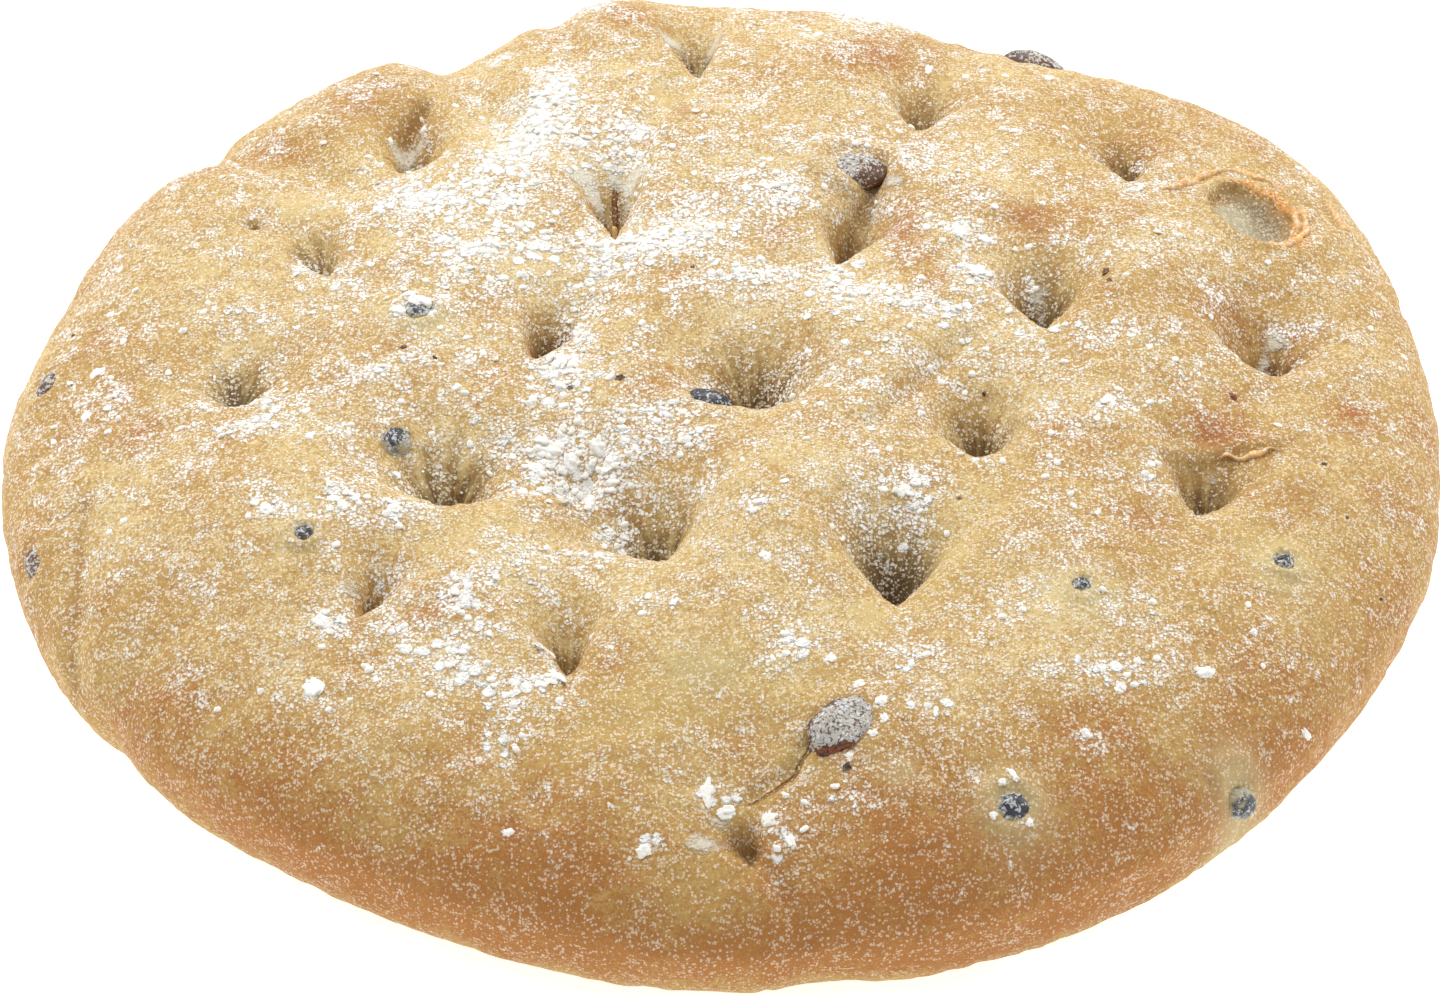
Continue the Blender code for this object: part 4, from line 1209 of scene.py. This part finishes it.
def scatter_tree(name, size, faces, power, flatness):
    """The node tree that lays lumps where flour lies, and the sockets of its inputs by name."""
    group = bpy.data.node_groups.new(name, "GeometryNodeTree")
    kinds = {"Size": "NodeSocketFloat", "Density": "NodeSocketFloat", "Seed": "NodeSocketInt"}
    add_socket = group.interface.new_socket
    add_socket("Geometry", in_out="OUTPUT", socket_type="NodeSocketGeometry")
    add_socket("Geometry", in_out="INPUT", socket_type="NodeSocketGeometry")
    named = {k: add_socket(k, in_out="INPUT", socket_type=v) for k, v in kinds.items()}
    tree = Tree(group)
    entry = tree.node("NodeGroupInput")
    given = {k: Sum(tree, entry.socket.node.outputs[k]) for k in kinds}
    sockets = {"Name": "scatter"}
    flour = tree.node("GeometryNodeInputNamedAttribute", {"data_type": "FLOAT"}, sockets)
    clump = tree.node("ShaderNodeTexNoise", None, {"Scale": 380.0, "Detail": 2.0}, "Fac")
    gathered = tree.step(clump, 0.42, 0.6)
    thick = flour**power * (0.12 + 0.88 * gathered)
    sockets = {"Mesh": entry, "Density": given["Density"] * thick, "Seed": given["Seed"]}
    anywhere = {"distribute_method": "RANDOM"}
    points = tree.node("GeometryNodeDistributePointsOnFaces", anywhere, sockets)
    normal_turn = Sum(tree, points.socket.node.outputs["Rotation"])
    if faces == 8:
        sockets = {"Radius": given["Size"] * 0.5, "Segments": 4, "Rings": 2}
        ball = tree.node("GeometryNodeMeshUVSphere", None, sockets)
    else:
        sockets = {"Radius": given["Size"] * 0.5, "Subdivisions": 1 if faces == 20 else 2}
        ball = tree.node("GeometryNodeMeshIcoSphere", None, sockets)
    wild = tree.node("FunctionNodeRandomValue", {"data_type": "FLOAT"}, {2: 0.0, 3: 1.0, 8: 5})
    way = tree.node("FunctionNodeRandomValue", {"data_type": "FLOAT"}, {2: 0.0, 3: 6.283, 8: 9})
    scale = 0.55 + wild * wild * wild + 0.35 * wild
    sockets = {0: scale, 1: scale * (0.7 + 0.3 * wild), 2: scale * flatness}
    stretch = tree.node("ShaderNodeCombineXYZ", None, sockets)
    spin = tree.node("ShaderNodeCombineXYZ", None, {2: way})
    sockets = {0: normal_turn, 1: spin}
    turn = tree.node("FunctionNodeRotateRotation", {"rotation_space": "LOCAL"}, sockets)
    sockets = {"Points": points, "Instance": ball, "Rotation": turn, "Scale": stretch}
    laid = tree.node("GeometryNodeInstanceOnPoints", None, sockets)
    plain = tree.node("GeometryNodeRealizeInstances", None, {0: laid})
    bumps = tree.node("ShaderNodeTexNoise", None, {"Scale": 1.1 / size, "Detail": 1.0}, "Color")
    sockets = {"Geometry": plain, "Offset": tree.centred(bumps, given["Size"] * 0.7)}
    shaped = tree.node("GeometryNodeSetPosition", None, sockets)
    sockets = {"Geometry": shaped, "Material": bpy.data.materials["loose_flour"]}
    tree.node("NodeGroupOutput", None, {0: tree.node("GeometryNodeSetMaterial", None, sockets)})
    return group, named


def scattered(name, size, density, seed, faces, power, flatness):
    """Small lumps laid on the crust by Geometry Nodes, where its flour lies, as a plain mesh."""
    group, named = scatter_tree(name, size, faces, power, flatness)
    carrier = bpy.data.objects.new(name + "_carrier", needed("crust").data.copy())
    bpy.context.scene.collection.objects.link(carrier)
    laying = carrier.modifiers.new(name, "NODES")
    laying.node_group = group
    for label, value in {"Size": size, "Density": density, "Seed": seed}.items():
        laying[named[label].identifier] = value
    graph = bpy.context.evaluated_depsgraph_get()
    mesh = bpy.data.meshes.new_from_object(carrier.evaluated_get(graph))
    carrier.modifiers.remove(laying)
    bpy.data.objects.remove(carrier)
    mesh.name = name
    for left in [a.name for a in mesh.attributes if not a.is_internal and not a.is_required]:
        mesh.attributes.remove(mesh.attributes[left])
    keep_in_box(mesh)
    mesh.shade_smooth()
    return mesh


# ---------------------------------------------------------------- operators
class FOCACCIA_OT_crust(bpy.types.Operator):
    """Build the crust over the loaf"""

    bl_idname = "focaccia.crust"
    bl_label = "Crust"

    def execute(self, context):
        settings = context.scene.focaccia_crust
        mesh, finish = crust_mesh(settings), crust_finish(settings)
        crust = new_piece("crust", mesh, finish, "focaccia_loaf")
        places = vertex_array(crust.data)
        flour = np.empty(len(places), np.float32)
        crust.data.attributes["flour"].data.foreach_get("value", flour)
        write_measure(crust.data, "scatter", np.where(places[:, 2] > LOOSE_FROM, flour, 0))
        return {"FINISHED"}


class FOCACCIA_OT_torn_edges(bpy.types.Operator):
    """Add the thin torn edges of crust"""

    bl_idname = "focaccia.torn_edges"
    bl_label = "Torn edges"

    def execute(self, context):
        ground = Ground("crust")
        bm = bmesh.new()
        for number, (width, height, corners) in enumerate(TORN_EDGES):
            ridge_along(bm, ground, corners, width, height, number)
        mesh = mesh_from(bm, "torn_edges")
        new_piece("torn_edges", mesh, torn_finish(context.scene.focaccia_crust))
        return {"FINISHED"}


class FOCACCIA_OT_olives(bpy.types.Operator):
    """Build the olive pieces in their sockets"""

    bl_idname = "focaccia.olives"
    bl_label = "Olive pieces"

    def execute(self, context):
        settings = context.scene.focaccia_olives
        finish = olive_finish(settings)
        for number, olive in enumerate(OLIVES, start=1):
            name = f"olive_{number:02d}"
            mesh = olive_mesh(name, olive, settings, number)
            new_piece(name, mesh, finish, f"olive_piece_{number:02d}")
        return {"FINISHED"}


class FOCACCIA_OT_flour_lumps(bpy.types.Operator):
    """Lay the large lumps of flour"""

    bl_idname = "focaccia.flour_lumps"
    bl_label = "Flour lumps"

    def execute(self, context):
        ground = Ground("crust", *(f"olive_{number:02d}" for number in range(1, len(OLIVES) + 1)))
        bm = bmesh.new()
        for number, (x, y, length, width, height, turn) in enumerate(LUMPS):
            seat = ground.seat(x, y, turn, 0.15 * height)
            rough_ball(bm, seat, (length, width, 0.7 * height), number, 4, 0.5)
        mesh = mesh_from(bm, "flour_lumps")
        keep_in_box(mesh)
        new_piece("flour_lumps", mesh, flour_finish())
        return {"FINISHED"}


class FOCACCIA_OT_loose_flour(bpy.types.Operator):
    """Scatter crumbs and grains of flour over the crust"""

    bl_idname = "focaccia.loose_flour"
    bl_label = "Loose flour"

    def execute(self, context):
        given = context.scene.focaccia_flour
        # name, size, density, faces of each, how closely they keep to thick flour, flatness
        kinds = (
            ("flour_clumps", given.clump_size, given.clump_density, 80, 5.0, 0.42),
            ("flour_crumbs", given.crumb_size, given.crumb_density, 20, 4.0, 0.42),
            ("flour_grains", given.grain_size, given.grain_density, 8, 2.5, 0.6),
        )
        for number, (name, size, density, faces, power, flatness) in enumerate(kinds):
            mesh = scattered(name, size, density, given.seed + number, faces, power, flatness)
            new_piece(name, mesh, bpy.data.materials["loose_flour"])
        return {"FINISHED"}


class FOCACCIA_OT_specks(bpy.types.Operator):
    """Set the dark specks into the crust"""

    bl_idname = "focaccia.specks"
    bl_label = "Dark specks"

    def execute(self, context):
        ground = Ground("crust")
        bm = bmesh.new()
        browns = []
        for number, (x, y, size, brown) in enumerate(SPECKS):
            seat = ground.seat(x, y, 40 * number, 0.05 * size)
            made = rough_ball(bm, seat, (size, size * 0.75, size * 0.45), number + 50, 3, 0.8)
            browns += [brown] * len(made)
        mesh = mesh_from(bm, "dark_specks")
        write_measure(mesh, "brown", np.array(browns))
        new_piece("dark_specks", mesh, speck_finish())
        return {"FINISHED"}


class FOCACCIA_OT_stage(bpy.types.Operator):
    """Set the floor, the light and the camera"""

    bl_idname = "focaccia.stage"
    bl_label = "Stage"

    def execute(self, context):
        settings = context.scene.focaccia_stage
        bm = bmesh.new()
        bmesh.ops.create_grid(bm, x_segments=8, y_segments=8, size=FLOOR_REACH)
        bmesh.ops.translate(bm, vec=(0, 0, -FLOOR_DROP), verts=bm.verts)
        mesh = bpy.data.meshes.new("floor")
        bm.to_mesh(mesh)
        bm.free()
        finish = Finish("pale_floor")
        mottle = finish.noise(300, 2.0)
        colour = finish.blend(mottle * 0.05, settings.floor, (0.82, 0.82, 0.82))
        fixed = {"Specular_IOR_Level": 0.0, "Emission_Strength": settings.glow}
        fixed["Emission_Color"] = (1.0, 1.0, 1.0, 1.0)
        mesh.materials.append(finish.end(colour, 0.9, mottle, 0.01 * MM, 0.1, **fixed))
        floor = bpy.data.objects.new("floor", mesh)
        context.scene.collection.objects.link(floor)
        self.light(context, settings)
        eye = bpy.data.cameras.new("eye")
        eye.lens = settings.lens
        eye.sensor_width = SENSOR_WIDTH
        eye.clip_start, eye.clip_end = NEAREST, FARTHEST
        camera = bpy.data.objects.new("eye", eye)
        back = Vector((0, -math.cos(settings.elevation), math.sin(settings.elevation)))
        camera.location = Vector(LOOKED_AT) + back * settings.distance
        camera.rotation_euler = (math.pi / 2 - settings.elevation, 0, 0)
        context.scene.collection.objects.link(camera)
        context.scene.camera = camera
        return {"FINISHED"}

    def light(self, context, settings):
        """An even sky, a large lamp above and behind the loaf and a weak one at each side."""
        world = bpy.data.worlds.new("soft_light")
        world.use_nodes = True
        world.node_tree.nodes["Background"].inputs["Color"].default_value = (1, 1, 1, 1)
        world.node_tree.nodes["Background"].inputs["Strength"].default_value = settings.sky
        context.scene.world = world
        for name, place, width, share in LAMPS:
            lamp = bpy.data.lights.new(name, "AREA")
            lamp.shape = "DISK"
            lamp.size = width
            lamp.energy = settings.lamp * share
            placed = bpy.data.objects.new(name, lamp)
            placed.location = place
            placed.rotation_euler = (-placed.location).to_track_quat("-Z", "Y").to_euler()
            context.scene.collection.objects.link(placed)
        context.scene.view_settings.view_transform = "Standard"


class FOCACCIA_PT_bakery(bpy.types.Panel):
    """Lists the steps that build the focaccia"""

    bl_idname = "FOCACCIA_PT_bakery"
    bl_label = "Focaccia"
    bl_space_type = "VIEW_3D"
    bl_region_type = "UI"
    bl_category = "Focaccia"

    def draw(self, context):
        for step in STEPS:
            self.layout.operator(step.bl_idname)
        for group in SETTINGS:
            box = self.layout.box()
            settings = getattr(context.scene, group)
            for name in settings.bl_rna.properties.keys():
                if name not in ("rna_type", "name"):
                    box.prop(settings, name)


STEPS = (
    FOCACCIA_OT_crust,
    FOCACCIA_OT_torn_edges,
    FOCACCIA_OT_olives,
    FOCACCIA_OT_flour_lumps,
    FOCACCIA_OT_loose_flour,
    FOCACCIA_OT_specks,
    FOCACCIA_OT_stage,
)
SETTINGS = {
    "focaccia_crust": CrustSettings,
    "focaccia_flour": FlourSettings,
    "focaccia_olives": OliveSettings,
    "focaccia_stage": StageSettings,
}


def register():
    for kind in (*SETTINGS.values(), *STEPS, FOCACCIA_PT_bakery):
        bpy.utils.register_class(kind)
    for name, kind in SETTINGS.items():
        setattr(bpy.types.Scene, name, PointerProperty(type=kind))


def unregister():
    for name in SETTINGS:
        delattr(bpy.types.Scene, name)
    for kind in (FOCACCIA_PT_bakery, *reversed(STEPS), *reversed(SETTINGS.values())):
        bpy.utils.unregister_class(kind)


def main():
    register()
    bpy.ops.focaccia.crust()
    bpy.ops.focaccia.torn_edges()
    bpy.ops.focaccia.olives()
    bpy.ops.focaccia.flour_lumps()
    bpy.ops.focaccia.loose_flour()
    bpy.ops.focaccia.specks()
    bpy.ops.focaccia.stage()


if __name__ == "__main__":
    main()
